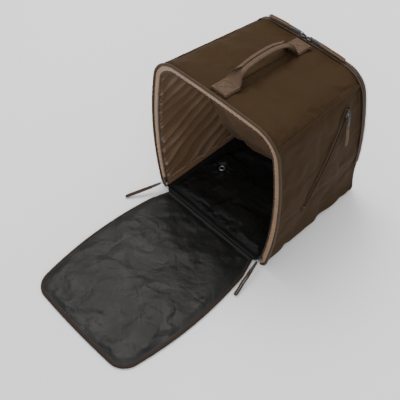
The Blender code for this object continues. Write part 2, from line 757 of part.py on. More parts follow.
def slider_mesh(name):
    """A zip slider seen from above: a plate narrowed at its closed end with a raised bridge."""
    bm = bmesh.new()
    bmesh.ops.create_cube(bm, size=1.0)
    bmesh.ops.scale(bm, vec=(SLIDER_LENGTH, SLIDER_WIDTH, SLIDER_HEIGHT), verts=bm.verts)
    bmesh.ops.translate(bm, vec=(0, 0, SLIDER_HEIGHT / 2), verts=bm.verts)
    for vert in bm.verts:
        if vert.co.x > 0:
            vert.co.y *= SLIDER_TAPER
        if vert.co.z > 0.001:
            vert.co.x *= BRIDGE_TAPER
            vert.co.y *= BRIDGE_TAPER
    bmesh.ops.bevel(bm, geom=bm.edges[:], offset=EDGE_ROUND, segments=1, affect="EDGES")
    return mesh_from(name, bm)


def tab_mesh(name):
    """The stiff black tab of a pull, running along +X from its hinge at the origin."""
    bm = bmesh.new()
    bmesh.ops.create_cube(bm, size=1.0)
    bmesh.ops.scale(bm, vec=(TAB_LENGTH, TAB_WIDTH, PULL_THICKNESS), verts=bm.verts)
    bmesh.ops.translate(bm, vec=(TAB_LENGTH / 2 - TAB_OVERHANG, 0, 0), verts=bm.verts)
    bmesh.ops.bevel(bm, geom=bm.edges[:], offset=EDGE_ROUND, segments=1, affect="EDGES")
    return mesh_from(name, bm)


def loop_mesh(name, length):
    """A doubled cord loop: a long ring lying flat, its near end at the end of the tab."""
    bm = bmesh.new()
    start = TAB_LENGTH - TAB_OVERHANG + CLEARANCE
    round_radius = LOOP_WIDTH / 2 - PULL_THICKNESS / 2
    centre_far = start + length - LOOP_WIDTH / 2
    centre_near = start + LOOP_WIDTH / 2
    path = [(centre_far + round_radius * math.cos(a), round_radius * math.sin(a))
            for a in [math.radians(-90 + 30 * i) for i in range(7)]]
    path += [(centre_near + round_radius * math.cos(a), round_radius * math.sin(a))
             for a in [math.radians(90 + 30 * i) for i in range(7)]]
    profile = [(math.cos(a) * PULL_THICKNESS / 2, math.sin(a) * PULL_THICKNESS / 2)
               for a in [math.tau * i / 8 for i in range(8)]]
    rings = []
    count = len(path)
    for i, (x, y) in enumerate(path):
        ahead, behind = path[(i + 1) % count], path[i - 1]
        tangent = Vector((ahead[0] - behind[0], ahead[1] - behind[1], 0)).normalized()
        side = Vector((tangent.y, -tangent.x, 0))
        rings.append([bm.verts.new(Vector((x, y, 0)) + side * u + Vector((0, 0, v))) for u, v in profile])
    for i in range(count):
        a_ring, b_ring = rings[i], rings[(i + 1) % count]
        for k in range(8):
            j = (k + 1) % 8
            bm.faces.new((a_ring[k], a_ring[j], b_ring[j], b_ring[k]))
    bmesh.ops.recalc_face_normals(bm, faces=bm.faces)
    return mesh_from(name, bm)


def axes_turn(along, normal):
    """Rotation whose X is a direction and whose Z is as near as possible to a normal."""
    along = along.normalized()
    across = normal.cross(along).normalized()
    return Matrix((along, across, along.cross(across))).transposed().to_quaternion()


def add_slider(name, point, along, normal):
    """A slider lying on its zip, X along the zip and Z away from it."""
    part = add_part(f"{name}_slider", slider_mesh(name), "slider")
    part.rotation_mode = "QUATERNION"
    part.rotation_quaternion = axes_turn(along, normal)
    part.location = point
    return part


def add_pull(name, pivot, along, normal, loop_length):
    """A pull's tab and loop, both with their origin on the pull's hinge."""
    pieces = (("tab", tab_mesh(name), "slider"), ("loop", loop_mesh(name, loop_length), "webbing"))
    for suffix, mesh, finish in pieces:
        part = add_part(f"{name}_pull_{suffix}", mesh, finish)
        part.rotation_mode = "QUATERNION"
        part.rotation_quaternion = axes_turn(along, normal)
        part.location = pivot


def front_arc_point(side, z, inset):
    """A point on the side arc of the front opening, and the direction up along it."""
    centre_x = HALF_WIDTH - SIDE_RADIUS
    radius = SIDE_RADIUS - inset
    angle = math.asin((z - SIDE_CENTRE_Z) / radius)
    point = Vector((side * (centre_x + radius * math.cos(angle)), FRONT_Y, z))
    return point, Vector((-side * math.sin(angle), 0, math.cos(angle)))


def make_sliders():
    """Two sliders on each of the front and rear zips and one on each pocket zip, each with its pull."""
    chain_inset = FACING_INSET + FACING_WIDTH + CLEARANCE + CHAIN_WIDTH / 2
    for word, side in SIDES.items():
        point, up = front_arc_point(side, FRONT_SLIDER_Z, chain_inset)
        outward = Vector((0, -1, 0))
        base = point + outward * (TAPE_THICKNESS - RIM_DEPTH)
        add_slider(f"front_{word}", base, up, outward)
        pivot = base + outward * (SLIDER_HEIGHT + FRONT_STAND_OFF) - up * PIVOT_SET_BACK
        lay = Vector((side * math.sin(FRONT_PULL_TURN[word]), -math.cos(FRONT_PULL_TURN[word]), 0.0))
        reach = TAB_LENGTH + FRONT_LOOP
        lay.z = -(pivot.z - PULL_THICKNESS * FRONT_PULL_REST) / reach
        add_pull(f"front_{word}", pivot, lay, Vector((0, 0, 1)), FRONT_LOOP)

        y_zip = back_y(top_z(0.1)) - REAR_ZIP_START + REAR_CHAIN_WIDTH
        x = REAR_SLIDER_X[word]
        along = Vector((side, 0, 0))
        surface = top_z(y_zip) - abs(x) * abs(x) / (2 * TOP_RADIUS)
        base = Vector((x, y_zip, surface + SLIDER_LIFT))
        add_slider(f"rear_{word}", base, -along, Vector((0, 0, 1)))
        pivot = base + Vector((side * PIVOT_SET_BACK, 0, SLIDER_HEIGHT + PIVOT_STAND_OFF))
        drop = Vector((side, 0, -SLIDER_HEIGHT / (TAB_LENGTH + REAR_LOOP)))
        add_pull(f"rear_{word}", pivot, drop, Vector((0, 0, 1)), REAR_LOOP)

        upper, lower = pocket_line(side)
        down = (lower - upper).normalized()
        outward = axes_turn(down, Vector((side, 0, 0))) @ Vector((0, 0, 1))
        start = upper + down * SLIDER_LENGTH * POCKET_SLIDER_START
        start.x = surface_point(side, start.y, start.z, 0.0).x
        base = start + outward * SLIDER_LIFT
        add_slider(f"pocket_{word}", base, -down, outward)
        pivot = base + outward * (SLIDER_HEIGHT + PIVOT_STAND_OFF)
        hang = Vector((side * POCKET_PULL_LEAN, 0, -1))
        add_pull(f"pocket_{word}", pivot, hang, Vector((side, 0, 0)), POCKET_LOOP)


clear_scene()
PARTS = make_collection(COLLECTION_NAME)
CUTTERS = make_collection("cutters")
make_walls()
make_base()
make_back()
make_partition()
make_front_rim()
make_flap()
make_handle()
make_sliders()
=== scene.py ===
"""Looks of the soft boot bag: cloth, linings, crinkled tarpaulin, zips, webbing and stitching."""
import math

import bmesh
import bpy
import numpy as np
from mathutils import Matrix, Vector


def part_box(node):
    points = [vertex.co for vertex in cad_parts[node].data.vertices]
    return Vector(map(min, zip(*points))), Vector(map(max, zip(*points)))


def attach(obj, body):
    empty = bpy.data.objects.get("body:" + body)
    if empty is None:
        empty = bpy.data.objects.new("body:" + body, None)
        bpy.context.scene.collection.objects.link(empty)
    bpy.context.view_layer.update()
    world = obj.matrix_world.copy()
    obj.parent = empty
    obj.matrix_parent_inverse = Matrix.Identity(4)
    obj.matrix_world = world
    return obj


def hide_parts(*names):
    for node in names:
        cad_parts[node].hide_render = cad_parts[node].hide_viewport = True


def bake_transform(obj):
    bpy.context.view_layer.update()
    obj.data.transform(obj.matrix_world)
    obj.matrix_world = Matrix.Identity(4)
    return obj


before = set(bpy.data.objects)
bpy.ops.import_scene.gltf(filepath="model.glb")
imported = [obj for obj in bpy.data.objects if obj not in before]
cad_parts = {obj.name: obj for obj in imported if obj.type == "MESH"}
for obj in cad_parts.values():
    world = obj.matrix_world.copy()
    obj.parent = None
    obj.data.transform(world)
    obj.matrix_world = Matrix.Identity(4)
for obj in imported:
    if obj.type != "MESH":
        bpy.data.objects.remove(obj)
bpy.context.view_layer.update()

# Driving dimensions of the D-shaped section, as the frame has them
HEIGHT = 0.360
HALF_WIDTH = 0.1675
SIDE_RADIUS = 0.75
SIDE_CENTRE_Z = 0.17
SHOULDER_RADIUS = 0.060
TOP_RADIUS = 2.0
FOOT_RADIUS = 0.020
DEPTH = 0.285
FRONT_Y = -DEPTH / 2
REAR_HEIGHT_FACTOR = 0.93
REAR_WIDTH_FACTOR = 0.885
REAR_FOOT_WIDTH_FACTOR = 0.995
FOOT_FLARE_HEIGHT = 0.09
BACK_LEAN = 0.023
WALL_START = 0.0030
REAR_ZIP_START = 0.0155
LINING_DEPTH = 0.0092
FLAP_HINGE_Y = FRONT_Y - 0.0060
FLAP_LENGTH = 0.350
FLAP_INSET = 0.0200
REAR_FLAP_HINGE_Z = 0.10
POCKET_ZIP_TOP = (0.055, 0.292)
POCKET_ZIP_FOOT = (-0.062, 0.128)
EYELET = (0.088, -0.024)
# The sloping inner sheet's profile, from its foot up, in Y and Z
PARTITION = ((0.074, 0.0085), (0.046, 0.045), (0.022, 0.088), (0.002, 0.140), (-0.012, 0.200),
             (-0.022, 0.260), (-0.028, 0.300), (-0.032, 0.333))
SEAM_ON_SHOULDER = 2 / 6
SIDES = {"left": -1, "right": 1}
ROOT = "bag_shell"
# Seeds of the drawn folds per panel, and the heights of the simulated sheets
SHELL_SEEDS = {("side", -1): 11, ("side", 1): 23, ("top", -1): 35, ("top", 1): 47}
FIELDS = {}

# Sheets of the wall: gaps to the front edge and to the back, and the shares of the outline where the pockets'
# pouches start and end
LINING_ENDS = (0.0022, 0.021)
POUCH_ENDS = (0.050, 0.040)
POUCH_FIRST_SHARE = 0.16
POUCH_BELOW_SEAM = 0.06

# Webbing of the handle and cords of the pulls
STRAP_WIDTH = 0.034
STRAP_THICKNESS = 0.0015
CORD_DIAMETER = 0.0040
LOOP_WIDTH = 0.0084
UPWARD = (0, 0, 1)

# Cloth solver: steps run, kilograms per point and stiffnesses
CLOTH_STEPS = 20
CLOTH_QUALITY = 6
CLOTH_MASS = 0.2
CLOTH_STRETCH = 40
CLOTH_SHEAR = 12
CLOTH_AIR = 2.0
MAT_SHEET = (0.31, FLAP_LENGTH)
FLOOR_SHEET = (0.26, 0.265)
BACK_SHEET = (0.32, 0.35)

# Stage: floor, world and the camera that the photo was taken from
FLOOR_REACH = 9
FLOOR_DROP = 0.0006
WORLD_COLOUR = (0.97, 0.97, 1.0, 1.0)
WORLD_STRENGTH = 0.90
LIGHT_TARGET = (0, -0.1, 0.15)
CAMERA_AZIMUTH = 46.047
CAMERA_ELEVATION = 51.207
CAMERA_PLACE = (0.6429, -0.7955, 1.2170)
CAMERA_LENS = 66.41
CAMERA_SENSOR = 36.0


# --- noise, meshes and small helpers -------------------------------------------------------------


def waves(seed, count, scale):
    """Random directions, wave numbers and phases for smooth band-limited noise."""
    rng = np.random.RandomState(seed)
    angle = rng.uniform(0, 2 * np.pi, count)
    length = scale * rng.uniform(0.7, 1.5, count)
    return np.cos(angle) / length, np.sin(angle) / length, rng.uniform(0, 2 * np.pi, count)


def noise(a, b, scale, seed, count=9):
    """Smooth noise from about -1 to 1 over two coordinates in metres; scale is its wavelength."""
    kx, ky, phase = waves(seed, count, scale)
    total = sum(np.sin(2 * np.pi * (kx[i] * a + ky[i] * b) + phase[i]) for i in range(count))
    return total / math.sqrt(count)


def crumple(a, b, scale, seed):
    """Height of crumpled sheet: flat facets between sharp creases."""
    fold = 1.0 - np.abs(noise(a, b, scale, seed, 5))
    fine = 1.0 - np.abs(noise(a, b, scale * 0.45, seed + 1, 6))
    return 0.65 * fold + 0.35 * fine


def ramp(x, low, high):
    """0 below low, 1 above high, smooth between."""
    f = np.clip((x - low) / (high - low), 0, 1)
    return f * f * (3 - 2 * f)


def mesh_object(name, verts, faces, smooth=True):
    """A mesh object in the scene."""
    mesh = bpy.data.meshes.new(name)
    mesh.from_pydata([tuple(v) for v in np.asarray(verts, float)], [], faces)
    mesh.update()
    if smooth:
        mesh.shade_smooth()
    made = bpy.data.objects.new(name, mesh)
    bpy.context.scene.collection.objects.link(made)
    return made


def grid_faces(rows, columns, offset=0, flip=False, wrap=False):
    """Quads over a grid of rows x columns points; wrap joins the last row to the first."""
    faces = []
    for i in range(rows if wrap else rows - 1):
        for j in range(columns - 1):
            a = offset + i * columns + j
            b = offset + ((i + 1) % rows) * columns + j
            quad = (a, a + 1, b + 1, b)
            faces.append(quad[::-1] if flip else quad)
    return faces


def grid_normals(points):
    """Unit normals of a grid of points."""
    du = np.gradient(points, axis=1)
    dv = np.gradient(points, axis=0)
    normal = np.cross(du, dv)
    return normal / np.maximum(np.linalg.norm(normal, axis=2, keepdims=True), 1e-12)


def beside(points, normals):
    """Unit vectors across a line of points that lies on a surface."""
    across = np.cross(np.gradient(points, axis=0), normals)
    return across / np.linalg.norm(across, axis=1, keepdims=True)


def length_along(path):
    """Running length of a path."""
    return np.concatenate([[0], np.cumsum(np.linalg.norm(np.diff(path, axis=0), axis=1))])


def swell_along(along, amount, scale, seed, count):
    """A size near 1 that varies along a line."""
    return 1 + amount * noise(along, along * 0, scale, seed, count)


def facing_out(outer, inner, turned):
    """Both grids of a sheet, turned over together where turned is true."""
    return (outer[:, ::-1], inner[:, ::-1]) if turned else (outer, inner)


def slab(name, outer, inner, smooth_angle=40):
    """A closed sheet between two grids of points, the outer one facing out."""
    rows, columns, _ = outer.shape
    count = rows * columns
    verts = np.vstack([outer.reshape(-1, 3), inner.reshape(-1, 3)])
    faces = grid_faces(rows, columns) + grid_faces(rows, columns, count, flip=True)
    edge = [j for j in range(columns)] + [i * columns + columns - 1 for i in range(1, rows)]
    edge += [(rows - 1) * columns + j for j in range(columns - 2, -1, -1)]
    edge += [i * columns for i in range(rows - 2, 0, -1)]
    for a, b in zip(edge, edge[1:] + edge[:1]):
        faces.append((b, a, a + count, b + count))
    made = mesh_object(name, verts, faces)
    made.data.set_sharp_from_angle(angle=math.radians(smooth_angle))
    return made


def tube(name, path, radius, sides=8, closed=False, flat=1.0, up=UPWARD):
    """A tube along a path; flat squeezes it across up."""
    path = np.asarray(path, float)
    count = len(path)
    radius = np.broadcast_to(np.asarray(radius, float), (count,))
    if closed:
        tangent = np.roll(path, -1, axis=0) - np.roll(path, 1, axis=0)
    else:
        tangent = np.gradient(path, axis=0)
    tangent /= np.linalg.norm(tangent, axis=1, keepdims=True)
    side = np.cross(tangent, np.asarray(up, float))
    side /= np.maximum(np.linalg.norm(side, axis=1, keepdims=True), 1e-9)
    lift = np.cross(side, tangent)
    angles = np.linspace(0, 2 * np.pi, sides, endpoint=False)
    rings = [path + radius[:, None] * (np.cos(a) * side + flat * np.sin(a) * lift) for a in angles]
    verts = np.stack(rings, axis=1).reshape(-1, 3)
    faces = []
    for i in range(count if closed else count - 1):
        for k in range(sides):
            a, b = i * sides + k, i * sides + (k + 1) % sides
            c, d = ((i + 1) % count) * sides + (k + 1) % sides, ((i + 1) % count) * sides + k
            faces.append((a, d, c, b))
    if not closed:
        faces.append(tuple(range(sides)))
        faces.append(tuple((count - 1) * sides + k for k in range(sides - 1, -1, -1)))
    return mesh_object(name, verts, faces)


def join(name, objects):
    """Several mesh objects as one."""
    verts, faces = [], []
    for piece in objects:
        start = len(verts)
        verts += [piece.matrix_world @ v.co for v in piece.data.vertices]
        faces += [tuple(start + k for k in p.vertices) for p in piece.data.polygons]
    for piece in objects:
        bpy.data.objects.remove(piece, do_unlink=True)
    return mesh_object(name, np.array([tuple(v) for v in verts]), faces)


def stitches(name, path, normals, length=0.0030, pitch=0.0046, thick=0.00042):
    """A row of thread stitches along a path: short rods that dip into the cloth at both ends."""
    path = np.asarray(path, float)
    along = length_along(path)
    starts = np.arange(pitch * 0.5, along[-1] - length, pitch)
    normals = np.broadcast_to(np.asarray(normals, float), path.shape)
    verts, faces = [], []
    for s in starts:
        stations = []
        for f, height in ((0.0, -0.4), (0.3, 0.75), (0.7, 0.75), (1.0, -0.4)):
            at = s + f * length
            point = np.array([np.interp(at, along, path[:, k]) for k in range(3)])
            normal = np.array([np.interp(at, along, normals[:, k]) for k in range(3)])
            ahead = np.array([np.interp(at + 0.001, along, path[:, k]) for k in range(3)])
            tangent = ahead - point
            across = np.cross(normal, tangent)
            across /= max(np.linalg.norm(across), 1e-9)
            middle = point + normal * thick * height
            stations.append([middle + across * thick, middle + normal * thick, middle - across * thick])
        base = len(verts)
        verts += [v for station in stations for v in station]
        for i in range(3):
            for k in range(3):
                a, b = base + i * 3 + k, base + i * 3 + (k + 1) % 3
                faces.append((a, b, b + 3, a + 3))
        faces.append((base + 2, base + 1, base))
        faces.append((base + 9, base + 10, base + 11))
    return mesh_object(name, verts, faces)


# --- materials -----------------------------------------------------------------------------------


def principled(name, colour, roughness, **sockets):
    """A Principled material and its node tree."""
    material = bpy.data.materials.new(name)
    material.use_nodes = True
    tree = material.node_tree
    shader = tree.nodes["Principled BSDF"]
    shader.inputs["Base Color"].default_value = (*colour, 1.0)
    shader.inputs["Roughness"].default_value = roughness
    for key, value in sockets.items():
        shader.inputs[key.replace("_", " ")].default_value = value
    return material, tree, shader


def textured(name, colour, roughness, **sockets):
    """A Principled material with its tree, its shader and the object's own coordinates."""
    material, tree, shader = principled(name, colour, roughness, **sockets)
    return material, tree, shader, node(tree, "ShaderNodeTexCoord").outputs["Object"]


def node(tree, kind, **values):
    """A node with its sockets or settings set by name."""
    made = tree.nodes.new(kind)
    for key, value in values.items():
        socket = key.replace("_", " ")
        if socket in made.inputs:
            made.inputs[socket].default_value = value
        else:
            setattr(made, key, value)
    return made


def tint(tree, shader, colours, factor):
    """Base colour that runs between two colours."""
    mix = node(tree, "ShaderNodeMix", data_type="RGBA")
    mix.inputs["A"].default_value = (*colours[0], 1.0)
    mix.inputs["B"].default_value = (*colours[1], 1.0)
    tree.links.new(factor, mix.inputs["Factor"])
    tree.links.new(mix.outputs["Result"], shader.inputs["Base Color"])


def blotch(tree, coordinates, scale, detail=4.0):
    """Soft noise over the surface."""
    made = node(tree, "ShaderNodeTexNoise", Scale=scale, Detail=detail)
    tree.links.new(coordinates, made.inputs["Vector"])
    return made.outputs["Fac"]


def bump(tree, shader, height, strength, distance, before=None):
    """Bump from a height, on top of an earlier bump."""
    made = node(tree, "ShaderNodeBump", Strength=strength, Distance=distance)
    tree.links.new(height, made.inputs["Height"])
    if before is not None:
        tree.links.new(before, made.inputs["Normal"])
    tree.links.new(made.outputs["Normal"], shader.inputs["Normal"])
    return made.outputs["Normal"]


def math_node(tree, operation, a, b):
    """A Math node of two inputs, each a socket or a number."""
    made = node(tree, "ShaderNodeMath", operation=operation)
    for socket, value in zip(made.inputs, (a, b)):
        if isinstance(value, (int, float)):
            socket.default_value = value
        else:
            tree.links.new(value, socket)
    return made.outputs[0]


def rough_from(tree, shader, factor, amount, base):
    """Roughness that follows a factor."""
    rough = math_node(tree, "ADD", math_node(tree, "MULTIPLY", factor, amount), base)
    tree.links.new(rough, shader.inputs["Roughness"])


def weave(tree, coordinates, pitch, direction):
    """Parallel yarns across a direction of the surface."""
    made = node(tree, "ShaderNodeTexWave", wave_type="BANDS", bands_direction=direction,
                Scale=0.314 / pitch, Distortion=0.6, Detail=1.0)
    made.inputs["Detail Scale"].default_value = 2.0
    tree.links.new(coordinates, made.inputs["Vector"])
    return made.outputs["Fac"]


def cloth(name, dark, light, roughness, pitch=0.0007, depth=0.00012, blotches=9.0, **sockets):
    """Woven cloth: colour that drifts, crossed yarns as bump, slubs and soft creases."""
    material, tree, shader, coordinates = textured(name, light, roughness, **sockets)
    broad = blotch(tree, coordinates, blotches, 5.0)
    fine = blotch(tree, coordinates, 420.0, 2.0)
    factor = math_node(tree, "ADD", math_node(tree, "MULTIPLY", broad, 0.75),
                       math_node(tree, "MULTIPLY", fine, 0.25))
    tint(tree, shader, (dark, light), factor)
    rough_from(tree, shader, broad, 0.16, roughness - 0.08)
    yarns = math_node(tree, "MULTIPLY", weave(tree, coordinates, pitch, "DIAGONAL"),
                      weave(tree, coordinates, pitch * 1.3, "Z"))
    first = bump(tree, shader, yarns, 0.5, depth)
    bump(tree, shader, blotch(tree, coordinates, 60.0, 6.0), 0.22, 0.0012, first)
    return material


def tarpaulin(name):
    """Black coated tarpaulin: crumpled facets, sharp creases and a dusty coat."""
    material, tree, shader, coordinates = textured(name, (0.03, 0.03, 0.032), 0.40, Specular_IOR_Level=0.17)
    cells = node(tree, "ShaderNodeTexVoronoi", feature="DISTANCE_TO_EDGE", Scale=34.0)
    bend = node(tree, "ShaderNodeMix", data_type="VECTOR")
    bend.inputs["Factor"].default_value = 0.06
    warp = node(tree, "ShaderNodeTexNoise", Scale=16.0, Detail=3.0)
    tree.links.new(coordinates, warp.inputs["Vector"])
    tree.links.new(coordinates, bend.inputs["A"])
    tree.links.new(warp.outputs["Color"], bend.inputs["B"])
    tree.links.new(bend.outputs["Result"], cells.inputs["Vector"])
    crease = math_node(tree, "MINIMUM", cells.outputs["Distance"], 0.12)
    grain = blotch(tree, coordinates, 240.0, 3.0)
    dust = blotch(tree, coordinates, 26.0, 6.0)
    tint(tree, shader, ((0.006, 0.006, 0.006), (0.015, 0.015, 0.0143)), dust)
    rough_from(tree, shader, dust, 0.28, 0.28)
    first = bump(tree, shader, crease, 0.30, 0.004)
    second = bump(tree, shader, dust, 0.35, 0.003, first)
    bump(tree, shader, grain, 0.18, 0.0004, second)
    return material


def ribbed(name, dark, light, roughness, pitch):
    """Woven tape or webbing: raised ribs across it and a soft variation of colour."""
    material, tree, shader, coordinates = textured(name, light, roughness, Specular_IOR_Level=0.22)
    tint(tree, shader, (dark, light), blotch(tree, coordinates, 160.0, 3.0))
    ribs = math_node(tree, "ADD", weave(tree, coordinates, pitch, "X"), weave(tree, coordinates, pitch, "Y"))
    ribs = math_node(tree, "ADD", ribs, weave(tree, coordinates, pitch, "Z"))
    bump(tree, shader, ribs, 0.35, 0.00020)
    return material


def hard(name, dark, light, roughness, metallic, grain):
    """Coated metal or moulded plastic with fine grain and handling marks."""
    material, tree, shader, coordinates = textured(name, light, roughness, Metallic=metallic)
    marks = blotch(tree, coordinates, 180.0, 5.0)
    tint(tree, shader, (dark, light), marks)
    rough_from(tree, shader, marks, 0.22, roughness - 0.11)
    bump(tree, shader, blotch(tree, coordinates, 900.0, 2.0), 0.12, grain)
    return material


def ground(name):
    """Plain pale floor with a faint unevenness."""
    material, tree, shader, coordinates = textured(name, (0.78, 0.78, 0.77), 0.75)
    tint(tree, shader, ((0.90, 0.90, 0.895), (0.93, 0.93, 0.925)), blotch(tree, coordinates, 3.0, 3.0))
    bump(tree, shader, blotch(tree, coordinates, 300.0, 2.0), 0.05, 0.0003)
    return material


def make_materials():
    """Every finish of the bag."""
    return {
        "shell": cloth("shell_twill", (0.029, 0.0165, 0.0072), (0.048, 0.0285, 0.0138), 0.72,
                       Sheen_Weight=0.0, Sheen_Roughness=0.4, Specular_IOR_Level=0.05),
        "lining": cloth("satin_lining", (0.115, 0.068, 0.037), (0.180, 0.115, 0.068), 0.34,
                        pitch=0.0005, depth=0.00006, Sheen_Weight=0.10, Sheen_Roughness=0.3,
                        Anisotropic=0.5),
        "foam": cloth("foam_sheet", (0.045, 0.042, 0.038), (0.075, 0.070, 0.064), 0.9, depth=0.0003),
        "board": hard("stiffener_board", (0.02, 0.02, 0.02), (0.04, 0.04, 0.04), 0.6, 0.0, 0.0003),
        "tarpaulin": tarpaulin("black_tarpaulin"),
        "binding": ribbed("edge_binding", (0.017, 0.011, 0.007), (0.033, 0.021, 0.014), 0.68, 0.0011),
        "piping": ribbed("rim_piping", (0.034, 0.020, 0.010), (0.060, 0.036, 0.020), 0.62, 0.0009),
        "webbing": ribbed("webbing", (0.060, 0.035, 0.019), (0.097, 0.060, 0.036), 0.66, 0.0012),
        "cord": ribbed("pull_cord", (0.072, 0.043, 0.025), (0.120, 0.075, 0.046), 0.66, 0.0010),
        "dark_cord": ribbed("dark_pull_cord", (0.034, 0.022, 0.014), (0.060, 0.040, 0.027), 0.66, 0.0010),
        "tape": ribbed("zip_tape", (0.040, 0.025, 0.015), (0.068, 0.044, 0.028), 0.75, 0.0008),
        "coil": hard("zip_coil", (0.016, 0.012, 0.009), (0.036, 0.026, 0.020), 0.42, 0.0, 0.0002),
        "facing": cloth("puckered_facing", (0.165, 0.096, 0.050), (0.320, 0.196, 0.112), 0.46,
                        pitch=0.0006, depth=0.00010, Sheen_Weight=0.03),
        "light_thread": ribbed("light_thread", (0.110, 0.070, 0.044), (0.170, 0.112, 0.074), 0.6, 0.0006),
        "dark_thread": ribbed("dark_thread", (0.020, 0.017, 0.014), (0.036, 0.030, 0.025), 0.6, 0.0006),
        "ground": ground("studio_ground"),
        "thread": ribbed("thread", (0.040, 0.026, 0.015), (0.070, 0.046, 0.028), 0.6, 0.0006),
        "black": hard("black_coated_metal", (0.016, 0.016, 0.018), (0.050, 0.050, 0.055), 0.36, 0.35, 0.0002),
        "rubber": hard("black_moulded_tab", (0.018, 0.018, 0.018), (0.050, 0.050, 0.051), 0.52, 0.0, 0.0003),
        "nickel": hard("nickel", (0.42, 0.42, 0.43), (0.66, 0.66, 0.67), 0.28, 1.0, 0.0001),
    }


def finish_piece(piece, material, body=ROOT, replaces=()):
    """Give a piece its material, its CAD body and the CAD nodes that it stands for."""
    piece.data.materials.clear()
    piece.data.materials.append(M[material])
    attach(piece, body)
    if replaces:
        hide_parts(*replaces)
    return piece


# --- the bag's section ---------------------------------------------------------------------------


def arc(centre, radius, start, end, count):
    """Points along an arc in X and Z."""
    a = np.linspace(start, end, count + 1)
    return np.stack([centre[0] + radius * np.cos(a), centre[1] + radius * np.sin(a)], axis=1)


def shoulder_circle():
    """Centre of the shoulder arc and the angles where it meets the side and the top."""
    side_centre = np.array([HALF_WIDTH - SIDE_RADIUS, SIDE_CENTRE_Z])
    top_centre = np.array([0.0, HEIGHT - TOP_RADIUS])
    to_side, to_top = SIDE_RADIUS - SHOULDER_RADIUS, TOP_RADIUS - SHOULDER_RADIUS
    gap = np.linalg.norm(side_centre - top_centre)
    along = (to_top ** 2 - to_side ** 2 + gap ** 2) / (2 * gap)
    across = math.sqrt(to_top ** 2 - along ** 2)
    ux, uz = (side_centre - top_centre) / gap
    centre = top_centre + np.array([ux * along + uz * across, uz * along - ux * across])
    side = centre - side_centre
    top = centre - top_centre
    return side_centre, centre, top_centre, math.atan2(side[1], side[0]), math.atan2(top[1], top[0])


def fine_outline():
    """The right half of the front outline from the foot to the top centre, finely stepped."""
    side_centre, shoulder, top_centre, side_angle, top_angle = shoulder_circle()
    foot_angle = math.asin((FOOT_RADIUS - SIDE_CENTRE_Z) / (SIDE_RADIUS - FOOT_RADIUS))
    foot_x = side_centre[0] + (SIDE_RADIUS - FOOT_RADIUS) * math.cos(foot_angle)
    parts = [arc((foot_x, FOOT_RADIUS), FOOT_RADIUS, -math.pi / 2, foot_angle, 40),
             arc(side_centre, SIDE_RADIUS, foot_angle, side_angle, 300)[1:],
             arc(shoulder, SHOULDER_RADIUS, side_angle, top_angle, 100)[1:],
             arc(top_centre, TOP_RADIUS, top_angle, math.pi / 2, 120)[1:]]
    return np.vstack(parts)


OUTLINE = fine_outline()
STEPS = np.linalg.norm(np.diff(OUTLINE, axis=0), axis=1)
OUTLINE_LENGTH = float(STEPS.sum())
OUTLINE_S = np.concatenate([[0], np.cumsum(STEPS)]) / OUTLINE_LENGTH


def outline_at(s):
    """Outline points at shares of its length, 0 at the foot and 1 at the top centre."""
    return np.interp(s, OUTLINE_S, OUTLINE[:, 0]), np.interp(s, OUTLINE_S, OUTLINE[:, 1])


def back_y(z):
    """Depth of the leaning back face at a height."""
    return DEPTH / 2 - BACK_LEAN * z / (HEIGHT * REAR_HEIGHT_FACTOR)


def wall_at(s, side, y):
    """Wall points for matching arrays of outline share and Y."""
    x, z = outline_at(s)
    flare = np.maximum(0.0, 1.0 - z / FOOT_FLARE_HEIGHT) ** 2
    narrow = REAR_WIDTH_FACTOR + (REAR_FOOT_WIDTH_FACTOR - REAR_WIDTH_FACTOR) * flare
    rear_z = z * REAR_HEIGHT_FACTOR
    share = (y - FRONT_Y) / (back_y(rear_z) - FRONT_Y)
    return np.stack([side * x * (1 + (narrow - 1) * share), y + 0 * x, z + (rear_z - z) * share], axis=-1)


def wall(s, side, y_share, front_gap, back_gap):
    """Grid of wall points: rows run front to back by y_share, columns along the outline by s."""
    rear_z = outline_at(np.asarray(s))[1] * REAR_HEIGHT_FACTOR
    start = FRONT_Y + front_gap
    y = start + np.asarray(y_share)[:, None] * (back_y(rear_z) - back_gap - start)
    return wall_at(np.asarray(s), side, y)


def seam_share():
    """Share of the half outline at which side and top panels are sewn together."""
    _, shoulder, _, side_angle, top_angle = shoulder_circle()
    angle = side_angle + (top_angle - side_angle) * SEAM_ON_SHOULDER
    point = shoulder + SHOULDER_RADIUS * np.array([math.cos(angle), math.sin(angle)])
    return float(OUTLINE_S[np.argmin(np.linalg.norm(OUTLINE - point, axis=1))])


SEAM = seam_share()
PANEL_ENDS = {"side": (0.0, SEAM), "top": (SEAM, 1.0)}


# --- cloth simulation of the slack sheets --------------------------------------------------------



def finer(values, times):
    """The rows of an array with smooth steps put in between (Catmull-Rom)."""
    padded_rows = np.vstack([values[:1], values, values[-1:]])
    rows = []
    for i in range(len(values) - 1):
        a, b, c, d = padded_rows[i:i + 4]
        for k in range(times):
            f = k / times
            rows.append(0.5 * (2 * b + (c - a) * f + (2 * a - 5 * b + 4 * c - d) * f ** 2
                               + (3 * b - a - 3 * c + d) * f ** 3))
    rows.append(values[-1])
    return np.array(rows)


